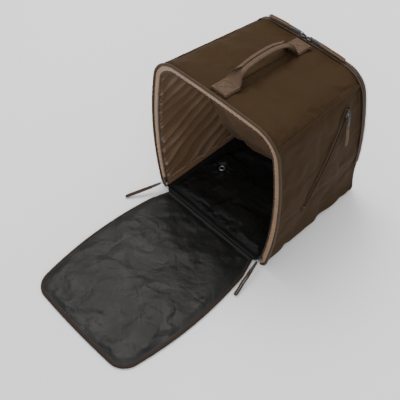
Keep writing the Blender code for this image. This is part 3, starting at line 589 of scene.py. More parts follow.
def simulate_slack(key, width, length, held, seed, grow, cap, start=0.0014, cell=0.0050, bend=0.25):
    """Buckle a flat sheet that is a little too large for the frame that holds it and keep its height."""
    columns, rows = int(width / cell) + 1, int(length / cell) + 1
    xx, yy = np.meshgrid(np.linspace(0, width, columns), np.linspace(0, length, rows))
    hold = np.clip(held(xx, yy), 0, 1)
    first = start * (noise(xx, yy, 0.085, seed, 6) + 0.4 * noise(xx, yy, 0.035, seed + 1, 6)) * (1 - hold)
    points = np.stack([xx, yy, first], axis=2).reshape(-1, 3)
    sheet = mesh_object(f"slack_{key}", points, grid_faces(rows, columns))
    group = sheet.vertex_groups.new(name="held")
    for index, weight in enumerate(hold.ravel()):
        if weight > 0.01:
            group.add([index], float(weight), "REPLACE")
    cloth_modifier = sheet.modifiers.new("cloth", "CLOTH")
    settings = cloth_modifier.settings
    settings.quality = CLOTH_QUALITY
    settings.mass = CLOTH_MASS
    settings.tension_stiffness = CLOTH_STRETCH
    settings.compression_stiffness = CLOTH_STRETCH
    settings.shear_stiffness = CLOTH_SHEAR
    settings.bending_stiffness = bend
    settings.air_damping = CLOTH_AIR
    settings.vertex_group_mass = "held"
    settings.shrink_min = -grow
    settings.shrink_max = -grow
    settings.effector_weights.gravity = 0
    for number in range(1, CLOTH_STEPS + 1):
        bpy.context.scene.frame_set(number)
    settled = sheet.evaluated_get(bpy.context.evaluated_depsgraph_get())
    found = settled.to_mesh()
    flat = np.empty(len(found.vertices) * 3)
    found.vertices.foreach_get("co", flat)
    height = flat.reshape(rows, columns, 3)[..., 2] * (1 - hold)
    settled.to_mesh_clear()
    bpy.data.objects.remove(sheet, do_unlink=True)
    bpy.context.scene.frame_set(1)
    height = cap * np.tanh(height / cap)
    FIELDS[key] = (width, length, finer(finer(height, 3).T, 3).T)


def slack(key, x, y):
    """Height of a simulated sheet at points of its frame, 0 where nothing was simulated."""
    if key not in FIELDS:
        return 0 * x
    width, length, values = FIELDS[key]
    rows, columns = values.shape
    u = np.clip(x / width, 0, 1) * (columns - 1)
    v = np.clip(y / length, 0, 1) * (rows - 1)
    i, j = np.minimum(v.astype(int), rows - 2), np.minimum(u.astype(int), columns - 2)
    f, g = v - i, u - j
    low = values[i, j] * (1 - g) + values[i, j + 1] * g
    high = values[i + 1, j] * (1 - g) + values[i + 1, j + 1] * g
    return low * (1 - f) + high * f


def border(x, y, width, length, reach=0.012):
    """1 on the border of a rectangle, 0 further in than reach."""
    edge = np.minimum(np.minimum(x, width - x), np.minimum(y, length - y))
    return 1 - ramp(edge, 0.0, reach)


def simulate_cloth():
    for side in SIDES.values():
        for kind, (first, last) in PANEL_ENDS.items():
            width, seed = (last - first) * OUTLINE_LENGTH, SHELL_SEEDS[(kind, side)]

            def held(x, y, kind=kind, width=width, side=side):
                total = border(x, y, width, DEPTH)
                if kind == "side":
                    z = outline_at(x / OUTLINE_LENGTH)[1]
                    total = np.maximum(total, 1 - ramp(pocket_distance(y + FRONT_Y, z)[0], 0.006, 0.016))
                return total

            cap = 0.0022 if kind == "side" else 0.0028
            simulate_slack(f"{kind}{side}", width, DEPTH, held, seed, 0.012, cap, bend=1.2)

    def round_mat(x, y):
        return border(x, y, *MAT_SHEET, 0.02)

    def round_floor(x, y):
        return border(x, y, *FLOOR_SHEET, 0.02)

    def round_back(x, y):
        at_hinge = 1 - ramp(np.abs(y - REAR_FLAP_HINGE_Z), 0.004, 0.012)
        return np.maximum(border(x, y, *BACK_SHEET), at_hinge)

    simulate_slack("mat", *MAT_SHEET, round_mat, 881, 0.010, 0.0060, cell=0.0045, bend=0.02)
    simulate_slack("floor", *FLOOR_SHEET, round_floor, 891, 0.030, 0.0026, cell=0.0045, bend=0.03)
    simulate_slack("back", *BACK_SHEET, round_back, 901, 0.016, 0.0026, bend=1.0)


# --- surfaces of the body ------------------------------------------------------------------------


def section_share(y, z):
    """Share of the outline and depth share for points given by how far back and how high they are."""
    front_z = np.array(z, float)
    share = np.zeros_like(front_z)
    for _ in range(4):
        rear_z = front_z * REAR_HEIGHT_FACTOR
        share = (y - FRONT_Y) / (back_y(rear_z) - FRONT_Y)
        front_z = z / (1 - (1 - REAR_HEIGHT_FACTOR) * share)
    return np.interp(front_z, OUTLINE[:, 1], OUTLINE_S)


def skin(s, side, y, depth=0.0):
    """Points at a depth below the wall's surface, with their outward normals."""
    step = 0.0006
    s = np.asarray(s, float)
    y = np.asarray(y, float) + 0 * s
    low = np.clip(s - step, 0, 1)
    high = np.clip(s + step, 0, 1)
    du = wall_at(high, side, y) - wall_at(low, side, y)
    dv = wall_at(s, side, y + step) - wall_at(s, side, y - step)
    normal = np.cross(du, dv) * side
    normal = -normal if np.sum(normal[..., 2] + side * normal[..., 0]) < 0 else normal
    normal /= np.linalg.norm(normal, axis=-1, keepdims=True)
    points = wall_at(s, side, y)
    return points - normal * np.broadcast_to(np.asarray(depth, float), s.shape)[..., None], normal


def pocket_distance(y, z):
    """Distance in the side's plane from the pocket's zip, and the share along it."""
    (y0, z0), (y1, z1) = POCKET_ZIP_TOP, POCKET_ZIP_FOOT
    length = math.hypot(y1 - y0, z1 - z0)
    along = ((y - y0) * (y1 - y0) + (z - z0) * (z1 - z0)) / length
    across = ((y - y0) * (z1 - z0) - (z - z0) * (y1 - y0)) / length
    outside = np.maximum(0, np.maximum(-along, along - length))
    return np.hypot(across, outside), across, along




def shell_depth(kind, side, s, y):
    """How far the outer cloth of a panel stands in from the section at a share and a Y."""
    first, last = PANEL_ENDS[kind]
    seed = SHELL_SEEDS[(kind, side)]
    along = s * OUTLINE_LENGTH
    broad = 0.5 + 0.5 * noise(y, along, 0.24, seed, 6)
    drag = np.abs(noise(y * 0.35 + along * 0.25, along * 0.30 - y * 0.20, 0.085, seed + 3, 4))
    loose = noise(y * 0.8 + along * 0.5, along * 0.6 - y * 0.4, 0.080, seed + 5, 7)
    fine = noise(y, along, 0.034, seed + 7, 10)
    size = 1.3 if kind == "side" else 0.8
    size = size * 0.5 if f"{kind}{side}" in FIELDS else size
    depth = 0.0030 * broad - size * (0.0013 * np.exp(-(drag / 0.22) ** 2) + 0.0006 * loose)
    buckles = slack(f"{kind}{side}", (s - first) * OUTLINE_LENGTH, y - FRONT_Y)
    depth = depth + 0.00022 * fine + 0.0014 - buckles
    run = (s - first) / (last - first)
    to_seam = np.minimum(run, 1 - run) * (last - first) * OUTLINE_LENGTH
    to_end = np.minimum(y - FRONT_Y, DEPTH / 2 - BACK_LEAN * s - REAR_ZIP_START - y)
    pucker = 0.5 + 0.5 * np.sin(2 * np.pi * y / 0.013 + 2 * noise(y, along, 0.05, seed + 9, 4))
    rim_pucker = 0.5 + 0.5 * np.sin(2 * np.pi * along / 0.015 + 2 * noise(y, along, 0.06, seed + 9, 4))
    seam = np.exp(-(to_seam / 0.0070) ** 2)
    end = np.exp(-(np.maximum(to_end, 0) / 0.0080) ** 2)
    tuck = np.maximum(seam * (0.0010 + 0.0006 * pucker), end * (0.0009 + 0.0006 * rim_pucker))
    depth = depth * (1 - np.maximum(seam, end)) + tuck
    if kind == "side":
        z = wall_at(s, side, y)[..., 2]
        gap, across, reach = pocket_distance(y, z)
        near = np.exp(-(gap / 0.013) ** 2)
        drags = 0.5 + 0.5 * np.sin(2 * np.pi * reach / 0.034 + across * 60)
        depth = depth + 0.0007 * drags * np.exp(-(gap / 0.035) ** 2) * (1 - near)
        depth = depth * (1 - near) + 0.0012 * near + 0.0022 * np.exp(-(gap / 0.0040) ** 4)
    return np.clip(depth, -0.0010, 0.0064)


def shell_panel(name, kind, side):
    """One panel of the shell with its folds, tucked in at its seams."""
    return layer(name, side, PANEL_ENDS[kind], (0.0014, REAR_ZIP_START - 0.0012),
                 lambda s, y: shell_depth(kind, side, s, y), 0.0011, (130 if kind == "side" else 90, 120))


def layer(name, side, ends, y_ends, depth, thick, size):
    """A closed layer of the wall: depth is a function of share and Y."""
    s = np.linspace(*ends, size[0])
    t = np.linspace(0, 1, size[1])
    flat = wall(s, side, t, y_ends[0], y_ends[1])
    ss = np.broadcast_to(s, flat.shape[:2])
    sunk = depth(ss, flat[..., 1])
    outer, _ = skin(ss, side, flat[..., 1], sunk)
    inner, _ = skin(ss, side, flat[..., 1], sunk + thick)
    outward = np.stack([outer[..., 0], 0 * ss, outer[..., 2] - 0.12], axis=2)
    turned = np.sum(grid_normals(outer) * outward) < 0
    return slab(name, *facing_out(outer, inner, turned))


def make_walls():
    """Shell panels, foam, linings and pocket bags of both sides."""
    pouch_shares = (POUCH_FIRST_SHARE, SEAM - POUCH_BELOW_SEAM)
    for word, side in SIDES.items():
        for kind in ("side", "top"):
            shell = shell_panel(f"{kind}_shell_{word}", kind, side)
            finish_piece(shell, "shell", ROOT, [f"{kind}_panel_{word}"])
            first, last = PANEL_ENDS[kind]
            seed = SHELL_SEEDS[(kind, side)]
            foam = layer(f"{kind}_padding_{word}", side, (first + 0.004, last - 0.003), (0.004, 0.022),
                            lambda s, y: 0.0078 + 0.0003 * noise(y, s * OUTLINE_LENGTH, 0.05, seed + 60),
                            0.0022, (60, 50))
            finish_piece(foam, "foam", ROOT, [f"{kind}_foam_{word}"])
            lining = layer(f"{kind}_lining_cloth_{word}", side, (first, last), LINING_ENDS,
                                 lambda s, y: lining_depth(kind, side, s, y), 0.0006,
                                 (150 if kind == "side" else 100, 130))
            finish_piece(lining, "lining", ROOT, [f"{kind}_lining_{word}"])
        bag = layer(f"pocket_pouch_{word}", side, pouch_shares, POUCH_ENDS,
                          lambda s, y: 0.0069 + 0.0002 * noise(y, s * OUTLINE_LENGTH, 0.03, 71 + side),
                          0.0005, (50, 40))
        finish_piece(bag, "lining", ROOT, [f"pocket_bag_{word}"])


def lining_depth(kind, side, s, y):
    """How far the lining's outer face lies below the section: slanting pleats between held edges."""
    first, last = PANEL_ENDS[kind]
    seed = SHELL_SEEDS[(kind, side)] + 100
    along = s * OUTLINE_LENGTH
    run = (s - first) / (last - first)
    front = y - FRONT_Y
    slant = along * 0.92 - front * 0.42 - 0.9 * front ** 2 + 0.0035 * noise(y, along, 0.12, seed, 5)
    pleat = np.abs(np.sin(np.pi * slant / 0.031))
    width = 0.5 + 0.5 * noise(y, along, 0.10, seed + 2, 5)
    fold = (1 - pleat) ** 1.3 * (0.30 + 0.70 * np.clip(width, 0, 1))
    sway = noise(y, along, 0.05, seed + 6, 4)
    pucker = 0.5 + 0.5 * np.sin(2 * np.pi * (along - front * 0.5) / 0.0105 + sway)
    fold = fold + 0.40 * pucker * np.exp(-((front - 0.009) / 0.010) ** 2)
    soft = 0.5 + 0.5 * noise(y, along, 0.07, seed + 4, 7)
    held = np.minimum(ramp(run, 0.0, 0.10), ramp(1 - run, 0.0, 0.08))
    held = held * ramp(front, 0.0, 0.012)
    size = 0.0060 if kind == "side" else 0.0045
    seam_z = wall_at(s, side, y)[..., 2] if kind == "side" else 1.0
    seam = np.exp(-((seam_z - 0.019) / 0.0022) ** 2) if kind == "side" else 0.0
    return 0.0102 + held * (size * fold + 0.0020 * soft) - 0.0008 * seam


# --- rim, zips and stitching ---------------------------------------------------------------------


def inset_line(inset, count=420, first=0.012):
    """The front outline at an inset, right foot over the top to left foot, with inward normals."""
    s = np.linspace(first, 1.0, count)
    x, z = outline_at(s)
    dx, dz = np.gradient(x), np.gradient(z)
    size = np.hypot(dx, dz)
    nx, nz = -dz / size, dx / size
    right = np.stack([x + nx * inset, z + nz * inset], axis=1)
    normal = np.stack([nx, nz], axis=1)
    left = right[-2::-1] * [-1, 1]
    return np.vstack([right, left]), np.vstack([normal, normal[-2::-1] * [-1, 1]])


def swept(name, path, across, up, profile):
    """A closed profile swept along a path; profile gives (u, v) per station and corner."""
    count, corners, _ = profile.shape
    points = path[:, None, :] + profile[..., :1] * across[:, None, :] + profile[..., 1:] * up[:, None, :]
    faces = []
    for i in range(count - 1):
        for k in range(corners):
            a, b = i * corners + k, i * corners + (k + 1) % corners
            faces.append((a, b, b + corners, a + corners))
    faces.append(tuple(range(corners - 1, -1, -1)))
    faces.append(tuple((count - 1) * corners + k for k in range(corners)))
    made = mesh_object(name, points.reshape(-1, 3), faces)
    mesh_outward(made)
    return made


def mesh_outward(made):
    """Turn the faces of a closed mesh outward."""
    bm = bmesh.new()
    bm.from_mesh(made.data)
    bmesh.ops.recalc_face_normals(bm, faces=bm.faces)
    bm.to_mesh(made.data)
    bm.free()
    made.data.shade_smooth()
    made.data.set_sharp_from_angle(angle=math.radians(50))


def oval(count, width, height, corners=12, power=1.0):
    """Rounded profile of a width and height, the same or one per station."""
    a = np.linspace(0, 2 * np.pi, corners, endpoint=False)
    u = np.sign(np.cos(a)) * np.abs(np.cos(a)) ** power
    v = np.sign(np.sin(a)) * np.abs(np.sin(a)) ** power
    width = np.broadcast_to(np.asarray(width, float), (count,))[:, None]
    height = np.broadcast_to(np.asarray(height, float), (count,))[:, None]
    return np.stack([u * width / 2, v * height / 2], axis=2)


def rim_frame(inset, y, count=420):
    """Path, across and up vectors for something that runs round the opening."""
    line, normal = inset_line(inset, count)
    path = np.stack([line[:, 0], np.full(len(line), y), line[:, 1]], axis=1)
    across = np.stack([normal[:, 0], np.zeros(len(line)), normal[:, 1]], axis=1)
    up = np.broadcast_to(np.array([0.0, -1.0, 0.0]), path.shape)
    return path, across, up


def teeth(name, path, across, up, width=0.0024, pitch=0.0017, high=0.0011, shift=0.0):
    """A row of coil teeth across a zip's line."""
    along = length_along(path)
    places = np.arange(pitch, along[-1] - pitch, pitch)
    tangent = np.gradient(path, axis=0)
    tangent /= np.linalg.norm(tangent, axis=1, keepdims=True)
    across = across / np.linalg.norm(across, axis=1, keepdims=True)
    pick = [np.stack([np.interp(places, along, field[:, k]) for k in range(3)], axis=1)
            for field in (path, tangent, across, up)]
    middle, ahead, aside, lift = pick
    verts, faces = [], []
    corners = [(0.30 * math.cos(a), 0.5 * math.sin(a)) for a in np.linspace(0, 2 * np.pi, 6, endpoint=False)]
    for i in range(len(places)):
        base = len(verts)
        for end in (-0.5, 0.5):
            for f, h in corners:
                squeeze = 1.0 if end < 0 else 0.8
                verts.append(middle[i] + aside[i] * (end * width + shift) + ahead[i] * f * pitch * squeeze
                             + lift[i] * (h * high * squeeze + high * 0.35))
        for k in range(6):
            j = (k + 1) % 6
            faces.append((base + k, base + j, base + 6 + j, base + 6 + k))
        faces.append(tuple(base + k for k in range(5, -1, -1)))
        faces.append(tuple(base + 6 + k for k in range(6)))
    made = mesh_object(name, verts, faces, smooth=False)
    mesh_outward(made)
    return made


def band(name, path, across, up, width, thick, lift=0.0, wave=0.0, seed=5):
    """A thin tape of a width along a path, a little wavy."""
    count = len(path)
    along = length_along(path)
    sway = wave * noise(along, along * 0, 0.02, seed, 6)
    profile = oval(count, width, thick, 12, 0.35)
    return swept(name, path + up * (lift + sway)[:, None] if wave else path + up * lift, across, up, profile)


def make_rim():
    """Piping, puckered facing and the body's half of the zip round the opening."""
    path, across, up = rim_frame(0.0010, FRONT_Y)
    along = length_along(path)
    swell = swell_along(along, 0.05, 0.012, 81, 8)
    piping = swept("rim_piping", path, across, up, oval(len(path), 0.0056 * swell, 0.0054 * swell, 12))
    finish_piece(piping, "piping", ROOT, ["front_piping"])
    path, across, up = rim_frame(0.0084, FRONT_Y + 0.0010, 900)
    along = length_along(path)
    phase = 2 * np.pi * along / 0.0095 + 3.2 * noise(along, along * 0, 0.045, 83, 6)
    pucker = 0.5 + 0.5 * np.sin(phase)
    depth = np.clip(0.45 + 0.55 * noise(along, along * 0, 0.05, 85, 6), 0.08, 1)
    high = 0.0030 + 0.0026 * pucker * depth
    facing = swept("rim_facing", path, across, up, oval(len(path), 0.0100 + 0.0014 * pucker, high, 16, 0.9))
    finish_piece(facing, "facing", ROOT, ["front_facing"])
    path, across, up = rim_frame(0.0143, FRONT_Y + 0.0014)
    tape = band("rim_zip_tape", path, across, up, 0.0064, 0.0008, wave=0.0002)
    finish_piece(tape, "tape", ROOT, ["front_zip_body_half"])
    finish_piece(teeth("rim_zip_coil", path, across, up, shift=0.0012), "coil")


def stitch_on_skin(name, kind, side, shares, ys):
    """A row of stitches lying on a shell panel."""
    shares = np.asarray(shares, float)
    points, normals = skin(shares, side, ys, shell_depth(kind, side, shares, np.asarray(ys, float)))
    return stitches(name, points, normals)


def make_stitching():
    """Topstitching along the shell's seams, its rim and its rear zip."""
    rows = []
    offset = 0.0042 / OUTLINE_LENGTH
    ys = np.linspace(FRONT_Y + 0.006, DEPTH / 2 - 0.040, 260)
    for side in SIDES.values():
        rows.append(stitch_on_skin("a", "side", side, np.full(260, SEAM - offset), ys))
        rows.append(stitch_on_skin("a", "top", side, np.full(260, SEAM + offset), ys))
        rows.append(stitch_on_skin("a", "top", side, np.full(260, 1 - offset), ys))
        for kind, (first, last) in PANEL_ENDS.items():
            s = np.linspace(first + 0.01, last, 200)
            rows.append(stitch_on_skin("a", kind, side, s, np.full(200, FRONT_Y + 0.0085)))
            back = wall(s, side, [1.0], WALL_START, REAR_ZIP_START + 0.010)[0, :, 1]
            rows.append(stitch_on_skin("a", kind, side, s, back))
    finish_piece(join("shell_topstitching", rows), "thread")
    seams = []
    for side in SIDES.values():
        ys = np.linspace(FRONT_Y + 0.002, DEPTH / 2 - 0.0405, 240)
        for kind, share in (("side", SEAM), ("top", 1.0)):
            if kind == "top" and side < 0:
                continue
            share = np.full(240, share)
            points, normals = skin(share, side, ys, 0.0006)
            across = beside(points, normals)
            wobble = swell_along(ys, 0.12, 0.02, 87, 6)
            profile = oval(240, 0.0034 * wobble, 0.0024 * wobble, 10)
            seams.append(swept("a", points, across, normals, profile))
    finish_piece(join("panel_seams", seams), "shell", ROOT)


# --- pocket zips ---------------------------------------------------------------------------------


def pocket_path(side, count=160, over=0.0):
    """Points along the pocket's zip on the skin, with outward normals and the direction across."""
    (y0, z0), (y1, z1) = POCKET_ZIP_TOP, POCKET_ZIP_FOOT
    f = np.linspace(-over, 1 + over, count)
    y, z = y0 + (y1 - y0) * f, z0 + (z1 - z0) * f
    points, normals = skin(section_share(y, z), side, y)
    return points, normals, beside(points, normals)


def make_pockets():
    """The slash pockets' zips: coil on tape in a groove between two folded welts."""
    for word, side in SIDES.items():
        points, normals, across = pocket_path(side)
        tape = band(f"pocket_tape_{word}", points - normals * 0.0022, across, normals, 0.0082, 0.0010)
        finish_piece(tape, "tape", ROOT, [f"pocket_zip_{word}"])
        coil = teeth(f"pocket_coil_{word}", points - normals * 0.0019, across, normals, width=0.0034)
        finish_piece(coil, "coil")
        long, long_normals, long_across = pocket_path(side, 200, 0.035)
        along = length_along(long)
        ends = np.minimum(ramp(along, 0, 0.006), ramp(along[-1] - along, 0, 0.006))
        welts, rows = [], []
        for way in (-1, 1):
            sway = 0.0003 * noise(along, along * 0, 0.03, 91 + way, 6)
            bend = (0.0054 * ends + 0.0008 + sway)[:, None]
            path = long + long_across * way * bend - long_normals * 0.0008
            swell = swell_along(along, 0.08, 0.025, 93 + way, 6)
            profile = oval(200, 0.0062 * swell, 0.0030 * swell, 12)
            welts.append(swept("a", path, long_across, long_normals, profile))
            line = long + long_across * way * (0.0098 * ends + 0.001)[:, None] - long_normals * 0.0012
            rows.append(stitches("a", line[8:-8], long_normals[8:-8]))
        for start, end in ((4, 12), (-12, -4)):
            middle = long[start:end].mean(axis=0)
            bar = [middle + long_across[start] * k * 0.0045 + long_normals[start] * 0.0002 for k in (-1, 1)]
            rows.append(tube("a", np.linspace(bar[0], bar[1], 5), 0.0011, 8))
        finish_piece(join(f"pocket_welts_{word}", welts), "shell", ROOT)
        finish_piece(join(f"pocket_stitching_{word}", rows), "thread")


# --- discs: back panels and mats -----------------------------------------------------------------


def disc(name, outer, inner):
    """A closed sheet made of two stacks of closed rings that shrink to a middle, joined at the rim."""
    rows, corners, _ = outer.shape
    verts = np.vstack([outer.reshape(-1, 3), inner.reshape(-1, 3)])
    count = rows * corners
    faces = []
    for offset in (0, count):
        for i in range(rows - 1):
            for k in range(corners):
                j = (k + 1) % corners
                a, b = offset + i * corners, offset + (i + 1) * corners
                faces.append((a + k, a + j, b + j, b + k))
        last = offset + (rows - 1) * corners
        faces.append(tuple(last + k for k in range(corners)))
    for k in range(corners):
        j = (k + 1) % corners
        faces.append((k, j, count + j, count + k))
    made = mesh_object(name, verts, faces)
    mesh_outward(made)
    return made


def resample(points, count):
    """Points spaced evenly along an open line."""
    along = length_along(points)
    places = np.linspace(0, along[-1], count)
    return np.stack([np.interp(places, along, points[:, k]) for k in range(points.shape[1])], axis=1)


def rear_half(inset):
    """The right half of the rear outline at an inset, in X and Z, from the foot to the top."""
    s = np.linspace(0.0, 1.0, 600)
    x, z = outline_at(s)
    flare = np.maximum(0.0, 1.0 - z / FOOT_FLARE_HEIGHT) ** 2
    narrow = REAR_WIDTH_FACTOR + (REAR_FOOT_WIDTH_FACTOR - REAR_WIDTH_FACTOR) * flare
    x, z = x * narrow, z * REAR_HEIGHT_FACTOR
    dx, dz = np.gradient(x), np.gradient(z)
    size = np.hypot(dx, dz)
    line = np.stack([x - dz / size * inset, z + dx / size * inset], axis=1)
    line[-1, 0] = 0.0
    return line


def rear_loop(inset, upper):
    """A closed loop of the back's part above or below the flap's hinge, and 1 where it has a rim."""
    half = rear_half(inset)
    split = REAR_FLAP_HINGE_Z
    x_split = np.interp(split, half[:, 1], half[:, 0])
    if upper:
        arc_part = np.vstack([[x_split, split], half[half[:, 1] > split]])
        arc_part = np.vstack([arc_part, arc_part[-2::-1] * [-1, 1]])
        arc_part = resample(arc_part, 300)
        straight = np.stack([np.linspace(-x_split, x_split, 102)[1:-1], np.full(100, split)], axis=1)
        rim = np.concatenate([np.ones(300), np.zeros(100)])
        return np.vstack([arc_part, straight]), rim
    side_part = resample(np.vstack([half[half[:, 1] < split], [x_split, split]]), 60)
    across = np.stack([np.linspace(x_split, -x_split, 102)[1:-1], np.full(100, split)], axis=1)
    other = side_part[::-1] * [-1, 1]
    foot_x = side_part[0, 0]
    foot = np.stack([np.linspace(-foot_x, foot_x, 102)[1:-1], np.full(100, side_part[0, 1])], axis=1)
    rim = np.concatenate([np.ones(60), np.zeros(100), np.ones(160)])
    return np.vstack([side_part, across, other, foot]), rim


def back_disc(name, upper, depth, thick, dents, inset=0.0, rounding=0.0118, seed=301, rings=26):
    """A back panel or a layer behind it: flat with a rounded rim, and soft dents."""
    outer = []
    if rounding:
        steps = [(0.0, 0.0150)] + [(rounding * (1 - math.cos(a)), rounding * (1 - math.sin(a)))
                                   for a in np.linspace(0.08, math.pi / 2, 7)]
    else:
        steps = [(0.0, 0.0)]
    flat_loop, rim = rear_loop(inset + steps[-1][0], upper)
    centre = flat_loop.mean(axis=0)
    for step_in, forward in steps:
        loop, _ = rear_loop(inset + step_in, upper)
        outer.append((loop, forward * rim))
    for share in np.linspace(1, 0.02, rings)[1:]:
        outer.append((centre + (flat_loop - centre) * share, np.zeros(len(flat_loop))))
    made_outer = []
    for k, (loop, forward) in enumerate(outer):
        x, z = loop[:, 0], loop[:, 1]
        inside = ramp(np.full(len(x), k - len(steps) + 1.0), -1.0, 4.0)
        fold = np.exp(-(np.abs(noise(x * 0.7 + z * 0.3, z - x * 0.3, 0.14, seed + 2, 5)) / 0.7) ** 2)
        soft = dents * (0.5 + 0.5 * noise(x, z, 0.13, seed, 6) + 0.25 * fold)
        puff = slack("back", x + 0.16, z) if rounding else 0.0
        y = back_y(z) - depth - forward - np.maximum(soft * 0.8 - puff, -0.0010) * inside
        made_outer.append(np.stack([x, y, z], axis=1))
    made_outer = np.array(made_outer)
    made_inner = made_outer.copy()
    made_inner[..., 1] -= thick
    if rounding:
        for k in range(len(steps)):
            pulled = centre + (outer[k][0] - centre) * 0.990
            made_inner[k, :, 0], made_inner[k, :, 2] = pulled[:, 0], pulled[:, 1]
        made_inner[..., 2] = np.maximum(made_inner[..., 2], 0.0012)
        made_inner[:1, :, 1] = made_outer[:1, :, 1]
    return disc(name, made_outer, made_inner)


def rear_zip_frame(gap, count=420):
    """Path, across and outward vectors round the rear edge, from hinge height over the top."""
    s = np.linspace(0.02, 1.0, count)
    found = []
    for side in (1, -1):
        y = wall(s, side, [1.0], 0.0, gap)[0, :, 1]
        points, normals = skin(s, side, y)
        keep = points[:, 2] > REAR_FLAP_HINGE_Z + 0.002
        found.append((points[keep], normals[keep]))
    points = np.vstack([found[0][0], found[1][0][-2::-1]])
    normals = np.vstack([found[0][1], found[1][1][-2::-1]])
    across = beside(points, normals)
    if across[0, 1] < 0:
        across = -across
    return points, across, normals


def make_back():
    """Back panels with their padding and lining, the rear zip and the fold the flap hinges on."""
    for word, upper, body, node_word in (("lower_back", False, ROOT, "back"),
                                         ("rear_flap_cover", True, "rear_flap", "rear_flap")):
        panel = back_disc(word, upper, 0.0004, 0.0012, 0.0030, seed=301 + upper)
        finish_piece(panel, "shell", body, [f"{node_word}_panel"])
        foam = back_disc(f"{word}_padding", upper, 0.0080, 0.0022, 0.0003, inset=0.0165, rounding=0.0)
        finish_piece(foam, "foam", body, [f"{node_word}_foam"])
        lining = back_disc(f"{word}_lining", upper, 0.0106, 0.0007, 0.0030, inset=0.0168, rounding=0.0,
                           seed=311 + upper, rings=50)
        finish_piece(lining, "lining", body, [f"{node_word}_lining"])
    for name, gap, body, node_name, way in (
            ("rear_body", 0.0175, ROOT, "rear_zip_body_half", -1),
            ("rear_flap", 0.0113, "rear_flap", "rear_zip_flap_half", 1)):
        path, across, up = rear_zip_frame(gap)
        tape = band(f"{name}_zip_tape", path - up * 0.0003, across, up, 0.0058, 0.0009, wave=0.00015)
        finish_piece(tape, "tape", body, [node_name])
        coil_path, across, up = rear_zip_frame(0.0144 - way * 0.0006)
        coil = teeth(f"{name}_zip_coil", coil_path, across, up, width=0.0016)
        finish_piece(coil, "coil", body)
    half = np.interp(REAR_FLAP_HINGE_Z, rear_half(0.0)[:, 1], rear_half(0.0)[:, 0]) - 0.006
    x = np.linspace(-half, half, 90)
    z = np.linspace(REAR_FLAP_HINGE_Z - 0.010, REAR_FLAP_HINGE_Z + 0.010, 17)
    xx, zz = np.meshgrid(x, z)
    swell = 0.0016 * np.exp(-((zz - REAR_FLAP_HINGE_Z) / 0.0032) ** 2)
    ripple = 0.0003 * noise(xx, zz, 0.02, 331)
    y = back_y(zz) - 0.0004 + swell + ripple
    outer = np.stack([xx, y, zz], axis=2)
    inner = np.stack([xx, y - 0.0016, zz], axis=2)
    outer, inner = facing_out(outer, inner, grid_normals(outer)[8, 45, 1] < 0)
    fold = slab("rear_flap_fold", outer, inner)
    fold.data.materials.append(M["shell"])
    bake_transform(fold)
    path, across, up = rear_zip_frame(0.0225)
    count = len(path)
    seam = swept("rear_opening_binding", path - up * 0.0088, across, up, oval(count, 0.0040, 0.0086, 12, 0.7))
    finish_piece(seam, "binding", ROOT)
    loop, _ = rear_loop(0.0162, True)
    rim = np.stack([loop[:300, 0], back_y(loop[:300, 1]) - 0.0094, loop[:300, 1]], axis=1)
    inward = np.gradient(rim, axis=0)
    inward = np.cross(inward, np.array([0.0, 1.0, 0.0]))
    inward /= np.linalg.norm(inward, axis=1, keepdims=True)
    behind = np.broadcast_to(np.array([0.0, -1.0, 0.0]), rim.shape)
    seam = swept("rear_flap_inner_binding", rim, inward, behind, oval(300, 0.0042, 0.0068, 12, 0.7))
    finish_piece(seam, "binding", "rear_flap")
    rows = []
    path, across, up = rear_zip_frame(0.0060)
    rows.append(stitches("a", path - up * 0.0002, up))
    finish_piece(join("rear_flap_topstitching", rows), "thread", "rear_flap")


# --- base, floor and partition -------------------------------------------------------------------


def plate(name, xs, ys, top, bottom, size):
    """A closed sheet over a rectangle; top and bottom give heights over X and Y."""
    x = np.linspace(*xs, size[0])
    y = np.linspace(*ys, size[1])
    xx, yy = np.meshgrid(x, y)
    upper = np.stack([xx, yy, top(xx, yy)], axis=2)
    lower = np.stack([xx, yy, bottom(xx, yy)], axis=2)
    return slab(name, upper, lower)


def eyelet_bumps(x, y):
    """Wrinkles that run out from each eyelet, and how near a point is to one."""
    total = 0 * x
    near = 0 * x
    for side in SIDES.values():
        dx, dy = x - side * EYELET[0], y - EYELET[1]
        r = np.hypot(dx, dy)
        spokes = 0.5 + 0.5 * np.cos(7 * np.arctan2(dy, dx) + 1.5 * noise(x, y, 0.03, 401))
        total = total + 0.0022 * spokes * np.exp(-((r - 0.017) / 0.010) ** 2)
        near = np.maximum(near, 1 - ramp(r, 0.0075, 0.013))
    return total, near


def crinkles(x, y, seed):
    """Height of laid tarpaulin: crossing creases, crumpled patches and small facets."""
    big = crumple(x * 0.7, y, 0.140, seed)
    mid = crumple(x * 0.6 + 0.01 * noise(x, y, 0.05, seed + 9), y, 0.060, seed + 3)
    small = crumple(x * 0.7, y, 0.026, seed + 5)
    patches = np.clip(0.35 + 0.65 * noise(x, y, 0.13, seed + 11, 5), 0, 1)
    return np.clip(0.55 * big + (0.26 * mid + 0.10 * small) * (0.35 + 0.65 * patches), 0, 1)


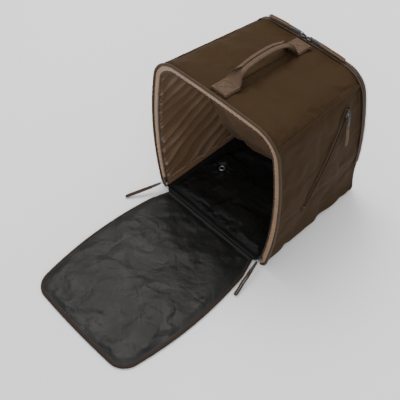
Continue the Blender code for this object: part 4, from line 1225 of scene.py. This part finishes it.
def make_base():
    """Underside, crinkled floor liner and drain eyelets."""
    half, front, back = 0.1295, FRONT_Y + 0.0032, DEPTH / 2 - 0.0045
    under = plate("underside", (-half, half), (front, back), lambda x, y: 0.0019 + 0 * x,
                  lambda x, y: 0.0002 + 0.0002 * (1 + noise(x, y, 0.04, 411)), (60, 60))
    finish_piece(under, "tarpaulin", ROOT, ["base_panel"])

    def floor_top(x, y):
        height = 0.0036 * crinkles(x, y, 421) + slack("floor", x + 0.13, y - front) + 0.0012
        wrinkles, near = eyelet_bumps(x, y)
        edge = np.minimum(np.minimum(half - np.abs(x), y - front), 0.118 - y)
        held = ramp(edge, 0.0, 0.016)
        turned = 0.0040 * (1 - ramp(half - np.abs(x), 0.0, 0.008))
        return 0.0068 + (height * held + wrinkles) * (1 - near) + turned

    floor = plate("tarpaulin_floor", (-half, half), (front - 0.0015, 0.122), floor_top,
                  lambda x, y: np.maximum(floor_top(x, y) - 0.0009, 0.0058), (190, 190))
    floor.data.set_sharp_from_angle(angle=math.radians(60))
    finish_piece(floor, "tarpaulin", ROOT, ["floor_liner"])
    for word, side in SIDES.items():
        profile = [(0.0038, -0.0040), (0.0040, 0.0006), (0.0046, 0.0014), (0.0058, 0.0015), (0.0072, 0.0009),
                   (0.0078, 0.0001), (0.0076, -0.0004), (0.0050, -0.0006), (0.0046, -0.0042)]
        angles = np.linspace(0, 2 * np.pi, 40, endpoint=False)
        verts = [(side * EYELET[0] + r * math.cos(a), EYELET[1] + r * math.sin(a), 0.0072 + h)
                 for a in angles for r, h in profile]
        size = len(profile)
        faces = []
        for i in range(40):
            for k in range(size):
                a, b = i * size, ((i + 1) % 40) * size
                j = (k + 1) % size
                faces.append((a + k, b + k, b + j, a + j))
        ring = mesh_object(f"eyelet_{word}", verts, faces)
        mesh_outward(ring)
        finish_piece(ring, "nickel", ROOT, [f"drain_eyelet_{word}"])
        # A dark plug fills each eyelet's hole: painted shade of the hole's depth, in the zip coil's finish.
        hole = [(side * EYELET[0] + 0.0039 * math.cos(a), EYELET[1] + 0.0039 * math.sin(a)) for a in angles]
        cap = mesh_object(f"eyelet_hole_shade_{word}", [(x, y, z) for z in (0.0034, 0.0062) for x, y in hole],
                          [tuple(range(40)), tuple(range(79, 39, -1))]
                          + [(k, (k + 1) % 40, 40 + (k + 1) % 40, 40 + k) for k in range(40)])
        mesh_outward(cap)
        finish_piece(cap, "coil", ROOT)




def make_partition():
    """The sloping sheet of lining between the boots and the rear pocket, with soft pleats."""
    profile = resample(np.array(PARTITION), 110)
    y, z = profile[:, 0], profile[:, 1]
    s = section_share(y, z)
    reach = skin(s, 1, y, LINING_DEPTH + 0.0035)[0][:, 0] - 0.001
    u = np.linspace(-1, 1, 120)
    xx = reach[:, None] * u[None, :]
    yy = np.broadcast_to(y[:, None], xx.shape)
    zz = np.broadcast_to(z[:, None], xx.shape)
    run = length_along(profile)[:, None] + 0 * xx
    slant = xx * 0.7 + run * 0.35 + 0.02 * noise(xx, run, 0.12, 501, 5)
    fold = (1 - np.abs(np.sin(np.pi * slant / 0.075))) ** 1.6
    soft = fold * 0.007 * (0.5 + 0.5 * noise(xx, run, 0.15, 503, 5)) + 0.003 * noise(xx, run, 0.09, 505, 6)
    held = ramp(1 - np.abs(u)[None, :], 0, 0.09) * ramp(run, 0, 0.03) * ramp(run[-1, 0] - run, 0, 0.03)
    surface = np.stack([xx, yy, zz], axis=2)
    normal = grid_normals(surface)
    if normal[50, 60, 1] > 0:
        normal = -normal
    front = surface + normal * (0.0010 + soft * held)[..., None]
    rear = surface + normal * (0.0002 + soft * held)[..., None]
    front, rear = facing_out(front, rear, grid_normals(front)[50, 60, 1] > 0)
    foot = []
    for side in SIDES.values():
        ys = np.linspace(FRONT_Y + 0.006, DEPTH / 2 - 0.030, 160)
        share = section_share(ys, np.full(160, 0.0175))
        points, normals = skin(share, side, ys, 0.0112)
        across = beside(points, normals)
        swell = swell_along(ys, 0.10, 0.02, 511, 6)
        foot.append(swept("a", points, across, normals, oval(160, 0.0040 * swell, 0.0036 * swell, 10)))
    finish_piece(join("lining_foot_piping", foot), "facing", ROOT)
    sheet = slab("partition_cloth", front, rear)
    finish_piece(sheet, "lining", ROOT, ["inner_partition"])


# --- front flap ----------------------------------------------------------------------------------


def flap_line(inset, count=420):
    """The flap's free edge at an inset, from the hinge on the right round to the left, in X and Y."""
    line, _ = inset_line(FLAP_INSET, 800, 0.0)
    half = line[:800]
    half = half[half[:, 1] > 2 * FLAP_INSET]
    reach = half[:, 1] * FLAP_LENGTH / half[-1, 1]
    start = [[half[0, 0] - 0.014, 0.0006]]
    right = np.vstack([start, np.stack([half[:, 0], reach], axis=1)])
    right = resample(right, count)
    tangent = np.gradient(right, axis=0)
    tangent /= np.linalg.norm(tangent, axis=1, keepdims=True)
    inward = np.stack([-tangent[:, 1], tangent[:, 0]], axis=1)
    right = right + inward * inset
    right[-1, 0] = 0.0
    line = np.vstack([right, right[-2::-1] * [-1, 1]])
    inward = np.vstack([inward, inward[-2::-1] * [-1, 1]])
    points = np.stack([line[:, 0], FLAP_HINGE_Y - line[:, 1], 0 * line[:, 0]], axis=1)
    across = np.stack([inward[:, 0], -inward[:, 1], 0 * line[:, 0]], axis=1)
    return points, across


def mat_disc(name, inset, height, thick, rings=64):
    """A sheet over the flap's outline whose top follows height(x, y, edge distance)."""
    edge, _ = flap_line(inset, 210)
    hinge = np.linspace(edge[-1], edge[0], 122)[1:-1]
    loop = np.vstack([edge, hinge])
    centre = np.array([0.0, FLAP_HINGE_Y - FLAP_LENGTH * 0.5, 0.0])
    outer, inner = [], []
    for share in np.linspace(1, 0.01, rings):
        ring = centre + (loop - centre) * share
        distance = (1 - share) * np.linalg.norm(loop - centre, axis=1)
        top = height(ring[:, 0], ring[:, 1], distance)
        outer.append(np.stack([ring[:, 0], ring[:, 1], top], axis=1))
        inner.append(np.stack([ring[:, 0], ring[:, 1], top - thick], axis=1))
    return disc(name, np.array(outer), np.array(inner))


def mat_height(x, y, edge):
    """Height of the mat's tarpaulin above the ground."""
    buckles = 0.28 * slack("mat", x + 0.155, FLAP_HINGE_Y - y) + 0.0006
    lift = 0.0030 * crinkles(x, y, 521) + buckles + 0.0008 * noise(x, y, 0.2, 523)
    height = 0.0052 + lift * ramp(edge, 0.0, 0.018)
    return np.where(height < 0.0050, 0.0050 + 0.12 * (height - 0.0050), height)


def flap_cloth_height(x, y, edge):
    """Height of the flap's outer cloth, pulled in a little by its stitching and slack in between."""
    buckles = 300.0 * slack("mat", 0.155 - x, FLAP_HINGE_Y - y)
    share = 0.5 + 0.5 * np.tanh(1.2 * noise(x, y, 0.11, 531, 6) - buckles)
    return 0.0012 + 0.0011 * share * ramp(edge, 0.0, 0.02)


def make_flap():
    """The folded-down front: cloth underneath, crinkled tarpaulin on top, binding and half the zip."""
    under = mat_disc("flap_cloth", 0.0062, flap_cloth_height, 0.0009, 60)
    finish_piece(under, "shell", "front_flap", ["flap_panel"])
    mat = mat_disc("flap_mat", 0.0050, mat_height, 0.0009, 90)
    mat.data.set_sharp_from_angle(angle=math.radians(60))
    finish_piece(mat, "tarpaulin", "front_flap", ["flap_liner"])
    path, across = flap_line(0.0042, 500)
    along = length_along(path)
    up = np.broadcast_to(np.array([0.0, 0.0, 1.0]), path.shape)
    swell = swell_along(along, 0.05, 0.015, 541, 8)
    lift = 0.0033 + 0.0002 * noise(along, along * 0, 0.05, 543, 5)
    binding = swept("flap_edge_binding", path + up * lift[:, None], across, up,
                    oval(len(path), 0.0062 * swell, 0.0062 * swell, 12, 0.8))
    finish_piece(binding, "binding", "front_flap", ["flap_binding"])
    path, across = flap_line(0.0016, 500)
    up = np.broadcast_to(np.array([0.0, 0.0, 1.0]), path.shape)
    tape = band("flap_zip_tape", path, across, up, 0.0032, 0.0008, lift=0.0024, wave=0.0002)
    finish_piece(tape, "tape", "front_flap", ["front_zip_flap_half"])
    finish_piece(teeth("flap_zip_coil", path + up * 0.0026, across, up, shift=-0.0003), "coil", "front_flap")
    edge, _ = flap_line(0.0100, 420)
    heights = [mat_height(np.array([p[0]]), np.array([p[1]]), np.array([0.005]))[0] for p in edge]
    edge[:, 2] = heights
    finish_piece(stitches("flap_stitching", edge[6:-6], UPWARD), "dark_thread", "front_flap")
    x = np.linspace(-0.1185, 0.1185, 110)
    y = np.linspace(FRONT_Y + 0.009, FLAP_HINGE_Y - 0.010, 34)
    xx, yy = np.meshgrid(x, y)
    xx = xx * (1.0 + 0.085 * ramp(yy, FLAP_HINGE_Y - 0.006, FLAP_HINGE_Y + 0.004))
    dip = 0.0015 * np.exp(-((yy - FLAP_HINGE_Y - 0.0010) / 0.0013) ** 2)
    sink = (0.0016 * ramp(yy, FRONT_Y + 0.002, FRONT_Y + 0.009)
            + 0.0027 * ramp(FLAP_HINGE_Y - yy, 0.001, 0.010))
    z = 0.0076 - sink - dip + 0.0004 * noise(xx, yy, 0.03, 551)
    upper = np.stack([xx, yy, z], axis=2)
    lower = np.stack([xx, yy, z - 0.0012], axis=2)
    upper, lower = facing_out(upper, lower, grid_normals(upper)[12, 50, 2] < 0)
    strip = slab("flap_hinge_fold", upper, lower)
    strip.data.materials.append(M["tarpaulin"])
    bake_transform(strip)
    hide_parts("flap_hinge_strip")


# --- handle --------------------------------------------------------------------------------------


def top_height(y):
    """Height of the top surface on the centre line."""
    s = np.ones(np.shape(y))
    return wall_at(s, 1, np.asarray(y, float))[..., 2]


def webbing_section(curl, width, thick, corners=41):
    """Closed profile of webbing: flat at curl 0, folded over lengthwise so its edges meet on top at 1."""
    bend = 0.0036 + 0.0050 * (1 - curl)
    step = width / (corners - 1)
    halves = []
    for way, flat in ((-1, 0.0082), (1, 0.0064)):
        x, z, line = 0.0, 0.0, [(0.0, 0.0)]
        for k in range(corners // 2):
            at = (k + 0.5) * step
            angle = math.pi * curl * min(max((at - flat) / bend, 0.0), 1.0)
            x, z = x + math.cos(angle) * step, z + math.sin(angle) * step
            line.append((way * x, z))
        halves.append(line)
    line = np.array(halves[0][:0:-1] + halves[1])
    tangent = np.gradient(line, axis=0)
    tangent /= np.maximum(np.linalg.norm(tangent, axis=1, keepdims=True), 1e-9)
    normal = np.stack([-tangent[:, 1], tangent[:, 0]], axis=1)
    return np.vstack([line + normal * thick / 2, (line - normal * thick / 2)[::-1]])


def make_handle():
    """Webbing handle: flat sewn tabs, edges rolled under and stitched along the grip."""
    low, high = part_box("handle_webbing")
    start, end = low.y, high.y
    tab, rise = 0.034, 0.026
    y = np.concatenate([np.linspace(start, start + tab, 24), np.linspace(start + tab, end - tab, 130)[1:],
                        np.linspace(end - tab, end, 24)[1:]])
    s = np.clip((y - start - tab) / (end - start - 2 * tab), 0, 1)
    lift = np.sin(np.pi * s) ** 0.9 * ramp(np.minimum(s, 1 - s), -0.16, 0.16)
    lift = np.tanh(1.5 * lift) / math.tanh(1.5)
    z = top_height(y) + 0.0030 + rise * lift
    path = np.stack([0.0009 * np.sin(5 * s + 1) * lift, y, z], axis=1)
    tangent = np.gradient(path, axis=0)
    tangent /= np.linalg.norm(tangent, axis=1, keepdims=True)
    across = np.broadcast_to(np.array([1.0, 0, 0]), path.shape)
    up = np.cross(across, tangent)
    curl = ramp(np.minimum(s, 1 - s), 0.0, 0.19)
    profile = np.array([webbing_section(c, STRAP_WIDTH, STRAP_THICKNESS) for c in curl])
    strap = swept("handle_strap", path, across, up, profile)
    finish_piece(strap, "webbing", ROOT, ["handle_webbing"])
    rows = []
    grip = (curl > 0.98)
    for way in (-1, 1):
        rows.append(stitches("a", path[grip] + across[grip] * way * 0.0052 + up[grip] * 0.0031, up[grip]))
    for word, a, b in (("front", start, start + tab), ("rear", end - tab, end)):
        def on_tab(points):
            xy = np.array(points)
            height = top_height(xy[:, 1]) + 0.0041
            line = np.stack([xy[:, 0], xy[:, 1], height], axis=1)
            return resample(line, 60)
        m = 0.0035
        corners = [(-0.0135, a + m), (0.0135, a + m), (0.0135, b - m), (-0.0135, b - m), (-0.0135, a + m)]
        for p, q in zip(corners, corners[1:]):
            rows.append(stitches("a", on_tab([p, q]), UPWARD))
        rows.append(stitches("a", on_tab([corners[0], corners[2]]), UPWARD))
        rows.append(stitches("a", on_tab([corners[1], corners[3]]), UPWARD))
        patch = plate(f"handle_base_{word}", (-0.0185, 0.0185), (a - 0.0012, b + 0.0012),
                      lambda x, y: top_height(y) + 0.0017 + 0.0001 * noise(x, y, 0.01, 601),
                      lambda x, y: top_height(y) - 0.0008, (30, 40))
        finish_piece(patch, "webbing", ROOT, [f"handle_patch_{word}"])
    finish_piece(join("handle_stitching", rows), "light_thread")


# --- sliders and pulls ---------------------------------------------------------------------------


def node_axes(name):
    """Middle and the long, wide and thin directions of a CAD node's mesh."""
    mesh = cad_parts[name].data
    points = np.array([tuple(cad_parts[name].matrix_world @ v.co) for v in mesh.vertices])
    middle = points.mean(axis=0)
    _, _, axes = np.linalg.svd(points - middle)
    return middle, axes, points


def toward(axis, reference):
    """The axis, or its opposite, that points along the reference."""
    return axis if np.dot(axis, reference) >= 0 else -axis


def placed(local, middle, x_axis, z_axis):
    """Local points moved into place."""
    z_axis = z_axis - x_axis * np.dot(z_axis, x_axis)
    z_axis /= np.linalg.norm(z_axis)
    y_axis = np.cross(z_axis, x_axis)
    local = np.asarray(local, float)
    return middle + local[:, :1] * x_axis + local[:, 1:2] * y_axis + local[:, 2:] * z_axis


def rounded_plate(outline, thick, round_off=0.0006):
    """Verts and faces of a plate with a rounded edge; outline runs round its middle plane."""
    outline = np.asarray(outline, float)
    centre = outline.mean(axis=0)
    count = len(outline)
    verts, faces = [], []
    levels = [(-thick / 2, round_off), (-thick / 2 + round_off, 0.0), (thick / 2 - round_off, 0.0),
              (thick / 2, round_off)]
    for z, inset in levels:
        away = outline - centre
        size = np.linalg.norm(away, axis=1, keepdims=True)
        ring = centre + away * (1 - inset / np.maximum(size, 1e-6))
        verts += [(p[0], p[1], z) for p in ring]
    for level in range(3):
        for k in range(count):
            j = (k + 1) % count
            a, b = level * count, (level + 1) * count
            faces.append((a + k, a + j, b + j, b + k))
    faces.append(tuple(range(count - 1, -1, -1)))
    faces.append(tuple(3 * count + k for k in range(count)))
    return np.array(verts), faces


def stadium(x0, x1, width_0, width_1, count=10):
    """Outline of a bar with round ends of two widths."""
    a = np.linspace(-np.pi / 2, np.pi / 2, count)
    far = [(x1 - width_1 / 2 + width_1 / 2 * math.cos(t), width_1 / 2 * math.sin(t)) for t in a]
    b = np.linspace(np.pi / 2, 3 * np.pi / 2, count)
    near = [(x0 + width_0 / 2 + width_0 / 2 * math.cos(t), width_0 / 2 * math.sin(t)) for t in b]
    return far + near


def local_piece(name, verts, faces, middle, x_axis, z_axis):
    """A mesh given in local axes, put in place."""
    made = mesh_object(name, placed(verts, middle, x_axis, z_axis), faces)
    mesh_outward(made)
    return made


def slider_piece(name, middle, along, outward):
    """A slider: bottom and top plates joined by a wedge, with side flanges and a raised bridge."""
    shape = [(-0.0060, -0.0036), (-0.0040, -0.0046), (0.0010, -0.0044), (0.0058, -0.0026), (0.0062, -0.0012),
             (0.0062, 0.0012), (0.0058, 0.0026), (0.0010, 0.0044), (-0.0040, 0.0046), (-0.0060, 0.0036)]
    parts = []
    for level, thick, scale in ((-0.0014, 0.0012, 0.94), (0.0008, 0.0012, 1.0)):
        verts, faces = rounded_plate(np.array(shape) * scale, thick, 0.0004)
        verts[:, 2] += level
        parts.append(local_piece("a", verts, faces, middle, along, outward))
    for way in (-1, 1):
        rail = [(-0.0052, way * 0.0042, 0.0002), (-0.0030, way * 0.0045, 0.0000), (0.0012, way * 0.0042, 0.0),
                (0.0054, way * 0.0026, 0.0002)]
        line = placed(resample(np.array(rail), 12), middle, along, outward)
        parts.append(tube("a", line, 0.0007, 8, up=outward))
    bridge = [(-0.0044, 0, 0.0012), (-0.0040, 0, 0.0026), (-0.0026, 0, 0.0034), (0.0000, 0, 0.0037),
              (0.0026, 0, 0.0034), (0.0040, 0, 0.0026), (0.0044, 0, 0.0012)]
    line = placed(resample(np.array(bridge), 20), middle, along, outward)
    parts.append(tube("a", line, 0.0010, 10, flat=0.55, up=np.cross(outward, along)))
    verts, faces = rounded_plate(np.array(stadium(-0.0060, -0.0010, 0.0020, 0.0014)), 0.0016, 0.0003)
    parts.append(local_piece("a", verts, faces, middle, along, outward))
    return join(name, parts)


def tab_piece(name, root, along, outward, length):
    """A moulded tab: an eye that hangs on the slider, a waist and a ribbed grip."""
    parts = []
    ring = []
    for a in np.linspace(0, 2 * np.pi, 24, endpoint=False):
        ring.append((0.0030 * math.cos(a) + 0.0016, 0.0026 * math.sin(a), 0.0))
    parts.append(tube("a", placed(ring, root, along, outward), 0.0007, 8, closed=True, up=outward))
    verts, faces = rounded_plate(np.array(stadium(0.0040, length, 0.0052, 0.0070, 12)), 0.0024, 0.0007)
    parts.append(local_piece("a", verts, faces, root, along, outward))
    for k in range(5):
        x = 0.010 + 0.0024 * k
        rib = [(x, -0.0022, 0.0012), (x, 0.0, 0.0013), (x, 0.0022, 0.0012)]
        for flip in (1, -1):
            line = placed(np.array(rib) * [1, 1, flip], root, along, outward)
            parts.append(tube("a", line, 0.00045, 6, up=outward))
    return join(name, parts)


def cord_loop(name, start, along, outward, length, width, sag, seed):
    """A doubled cord: two strands side by side from the tab, sewn together, with a round far end."""
    a = np.linspace(-np.pi / 2, np.pi / 2, 14)
    half = width / 2 - CORD_DIAMETER / 2
    straight = np.linspace(0.002, length - half - 0.0020, 60)
    waist = 1 - 0.12 * np.exp(-((straight - length * 0.16) / (length * 0.10)) ** 2)
    lower = [(x, -half * w, 0.0) for x, w in zip(straight, waist)]
    tip = [(length - half - 0.0020 + half * math.cos(t), half * math.sin(t), 0.0) for t in a[1:-1]]
    upper = [(x, half * w, 0.0) for x, w in zip(straight[::-1], waist[::-1])]
    line = np.array(lower + tip + upper)
    shift = noise(line[:, 0], line[:, 0] * 0, 0.05, seed, 5) * ramp(line[:, 0], 0.0, length * 0.5)
    line[:, 1] += 0.0012 * shift
    line[:, 2] += sag * (0.5 + 0.5 * np.sin(line[:, 0] / length * 5 + seed)) * ramp(line[:, 0], 0.0, 0.02)
    path = placed(line, start, along, outward)
    strand = tube(name, path, CORD_DIAMETER / 2, 12, flat=0.86, up=outward)
    wraps = []
    for k in range(4):
        x = length * 0.13 + 0.0016 * k
        ring = [(x, (half * 0.62 + 0.0019) * math.cos(t), 0.0019 * math.sin(t))
                for t in np.linspace(0, 2 * np.pi, 20, endpoint=False)]
        wraps.append(tube("a", placed(ring, start, along, outward), 0.0007, 6, closed=True, up=along))
    return strand, join(f"{name}_whipping", wraps), path


def pull_axes(kind, side):
    """Rough directions of a slider's face, of the side its pull lies up on, and of its zip's closed end."""
    return {"front": ((0, -1, 0), (0, 0, 1), (0, 0, 1)),
            "rear": ((0, 0, 1), (0, 0, 1), (-side, 0, 0)),
            "pocket": ((side, 0, 0), (side, 0, 0), (0, 0.3, 1))}[kind]


def make_pulls():
    """Sliders, tabs and cord loops, each on its own moving body."""
    for kind in ("front", "rear", "pocket"):
        for word, side in SIDES.items():
            outward, lay_up, closed_end = (np.array(axis, float) for axis in pull_axes(kind, side))
            stem = f"{kind}_{word}"
            middle, axes, points = node_axes(f"{stem}_slider")
            face = toward(axes[2], outward)
            along = toward(axes[0], closed_end)
            low = ((points - middle) @ face).min()
            piece = slider_piece(f"{stem}_zip_slider", middle + face * (low + 0.0020), along, face)
            finish_piece(piece, "black", f"{stem}_slider_body", [f"{stem}_slider"])
            tab_middle, tab_axes, tab_points = node_axes(f"{stem}_pull_tab")
            loop_middle, _, loop_points = node_axes(f"{stem}_pull_loop")
            lay = toward(tab_axes[0], loop_middle - tab_middle)
            up = toward(tab_axes[2], lay_up)
            reach = (tab_points - tab_middle) @ lay
            root = tab_middle + lay * (reach.min() + 0.0015)
            tab = tab_piece(f"{stem}_tab", root, lay, up, float(np.ptp(reach)) - 0.0015)
            finish_piece(tab, "rubber", f"{stem}_pull_body", [f"{stem}_pull_tab"])
            loop_reach = (loop_points - tab_middle) @ lay
            start = tab_middle + lay * (loop_reach.min() - 0.004)
            loop_length = float(np.ptp(loop_reach)) + 0.004
            sag = 0.0010 if kind != "pocket" else 0.0018
            loop, whipping, path = cord_loop(f"{stem}_cord", start, lay, up, loop_length, LOOP_WIDTH, sag,
                                             700 + len(stem) + side)
            finish = "dark_cord" if kind == "front" else "cord"
            finish_piece(loop, finish, f"{stem}_pull_body", [f"{stem}_pull_loop"])
            finish_piece(whipping, finish, f"{stem}_pull_body")


# --- stage, light and camera ---------------------------------------------------------------------


def make_stage():
    """Pale floor, soft lights and the camera."""
    corners = [(-FLOOR_REACH, -FLOOR_REACH, 0), (FLOOR_REACH, -FLOOR_REACH, 0),
               (FLOOR_REACH, FLOOR_REACH, 0), (-FLOOR_REACH, FLOOR_REACH, 0)]
    floor = mesh_object("studio_floor", corners, [(0, 1, 2, 3)], False)
    floor.location.z = -FLOOR_DROP
    floor.data.materials.append(M["ground"])
    world = bpy.data.worlds.new("studio_world")
    world.use_nodes = True
    world.node_tree.nodes["Background"].inputs["Color"].default_value = WORLD_COLOUR
    world.node_tree.nodes["Background"].inputs["Strength"].default_value = WORLD_STRENGTH
    bpy.context.scene.world = world
    lights = (("key", (-0.9, 0.3, 2.3), 1.3, 44.0, (1.0, 0.97, 0.93)),
              ("fill", (1.7, -1.7, 1.6), 1.6, 20.0, (0.93, 0.96, 1.0)),
              ("back", (0.3, 2.0, 1.5), 1.0, 11.0, (1.0, 1.0, 1.0)))
    for name, place, size, power, colour in lights:
        data = bpy.data.lights.new(name, "AREA")
        data.size = size
        data.energy = power
        data.color = colour
        lamp = bpy.data.objects.new(name, data)
        lamp.location = place
        aim = Vector(LIGHT_TARGET) - Vector(place)
        lamp.rotation_euler = aim.to_track_quat("-Z", "Y").to_euler()
        bpy.context.scene.collection.objects.link(lamp)
    azimuth, elevation = math.radians(CAMERA_AZIMUTH), math.radians(CAMERA_ELEVATION)
    back = Vector((math.sin(azimuth) * math.cos(elevation), -math.cos(azimuth) * math.cos(elevation),
                   math.sin(elevation)))
    data = bpy.data.cameras.new("camera")
    data.lens = CAMERA_LENS
    data.sensor_width = CAMERA_SENSOR
    camera = bpy.data.objects.new("camera", data)
    camera.rotation_euler = (-back).to_track_quat("-Z", "Y").to_euler()
    camera.location = CAMERA_PLACE
    bpy.context.scene.collection.objects.link(camera)
    bpy.context.scene.camera = camera


M = make_materials()
simulate_cloth()
for node_name in ("base_stiffener", "flap_board"):
    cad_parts[node_name].data.materials.clear()
    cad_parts[node_name].data.materials.append(M["board"])
make_walls()
make_rim()
make_stitching()
make_pockets()
make_back()
make_base()
make_partition()
make_flap()
make_handle()
make_pulls()
make_stage()
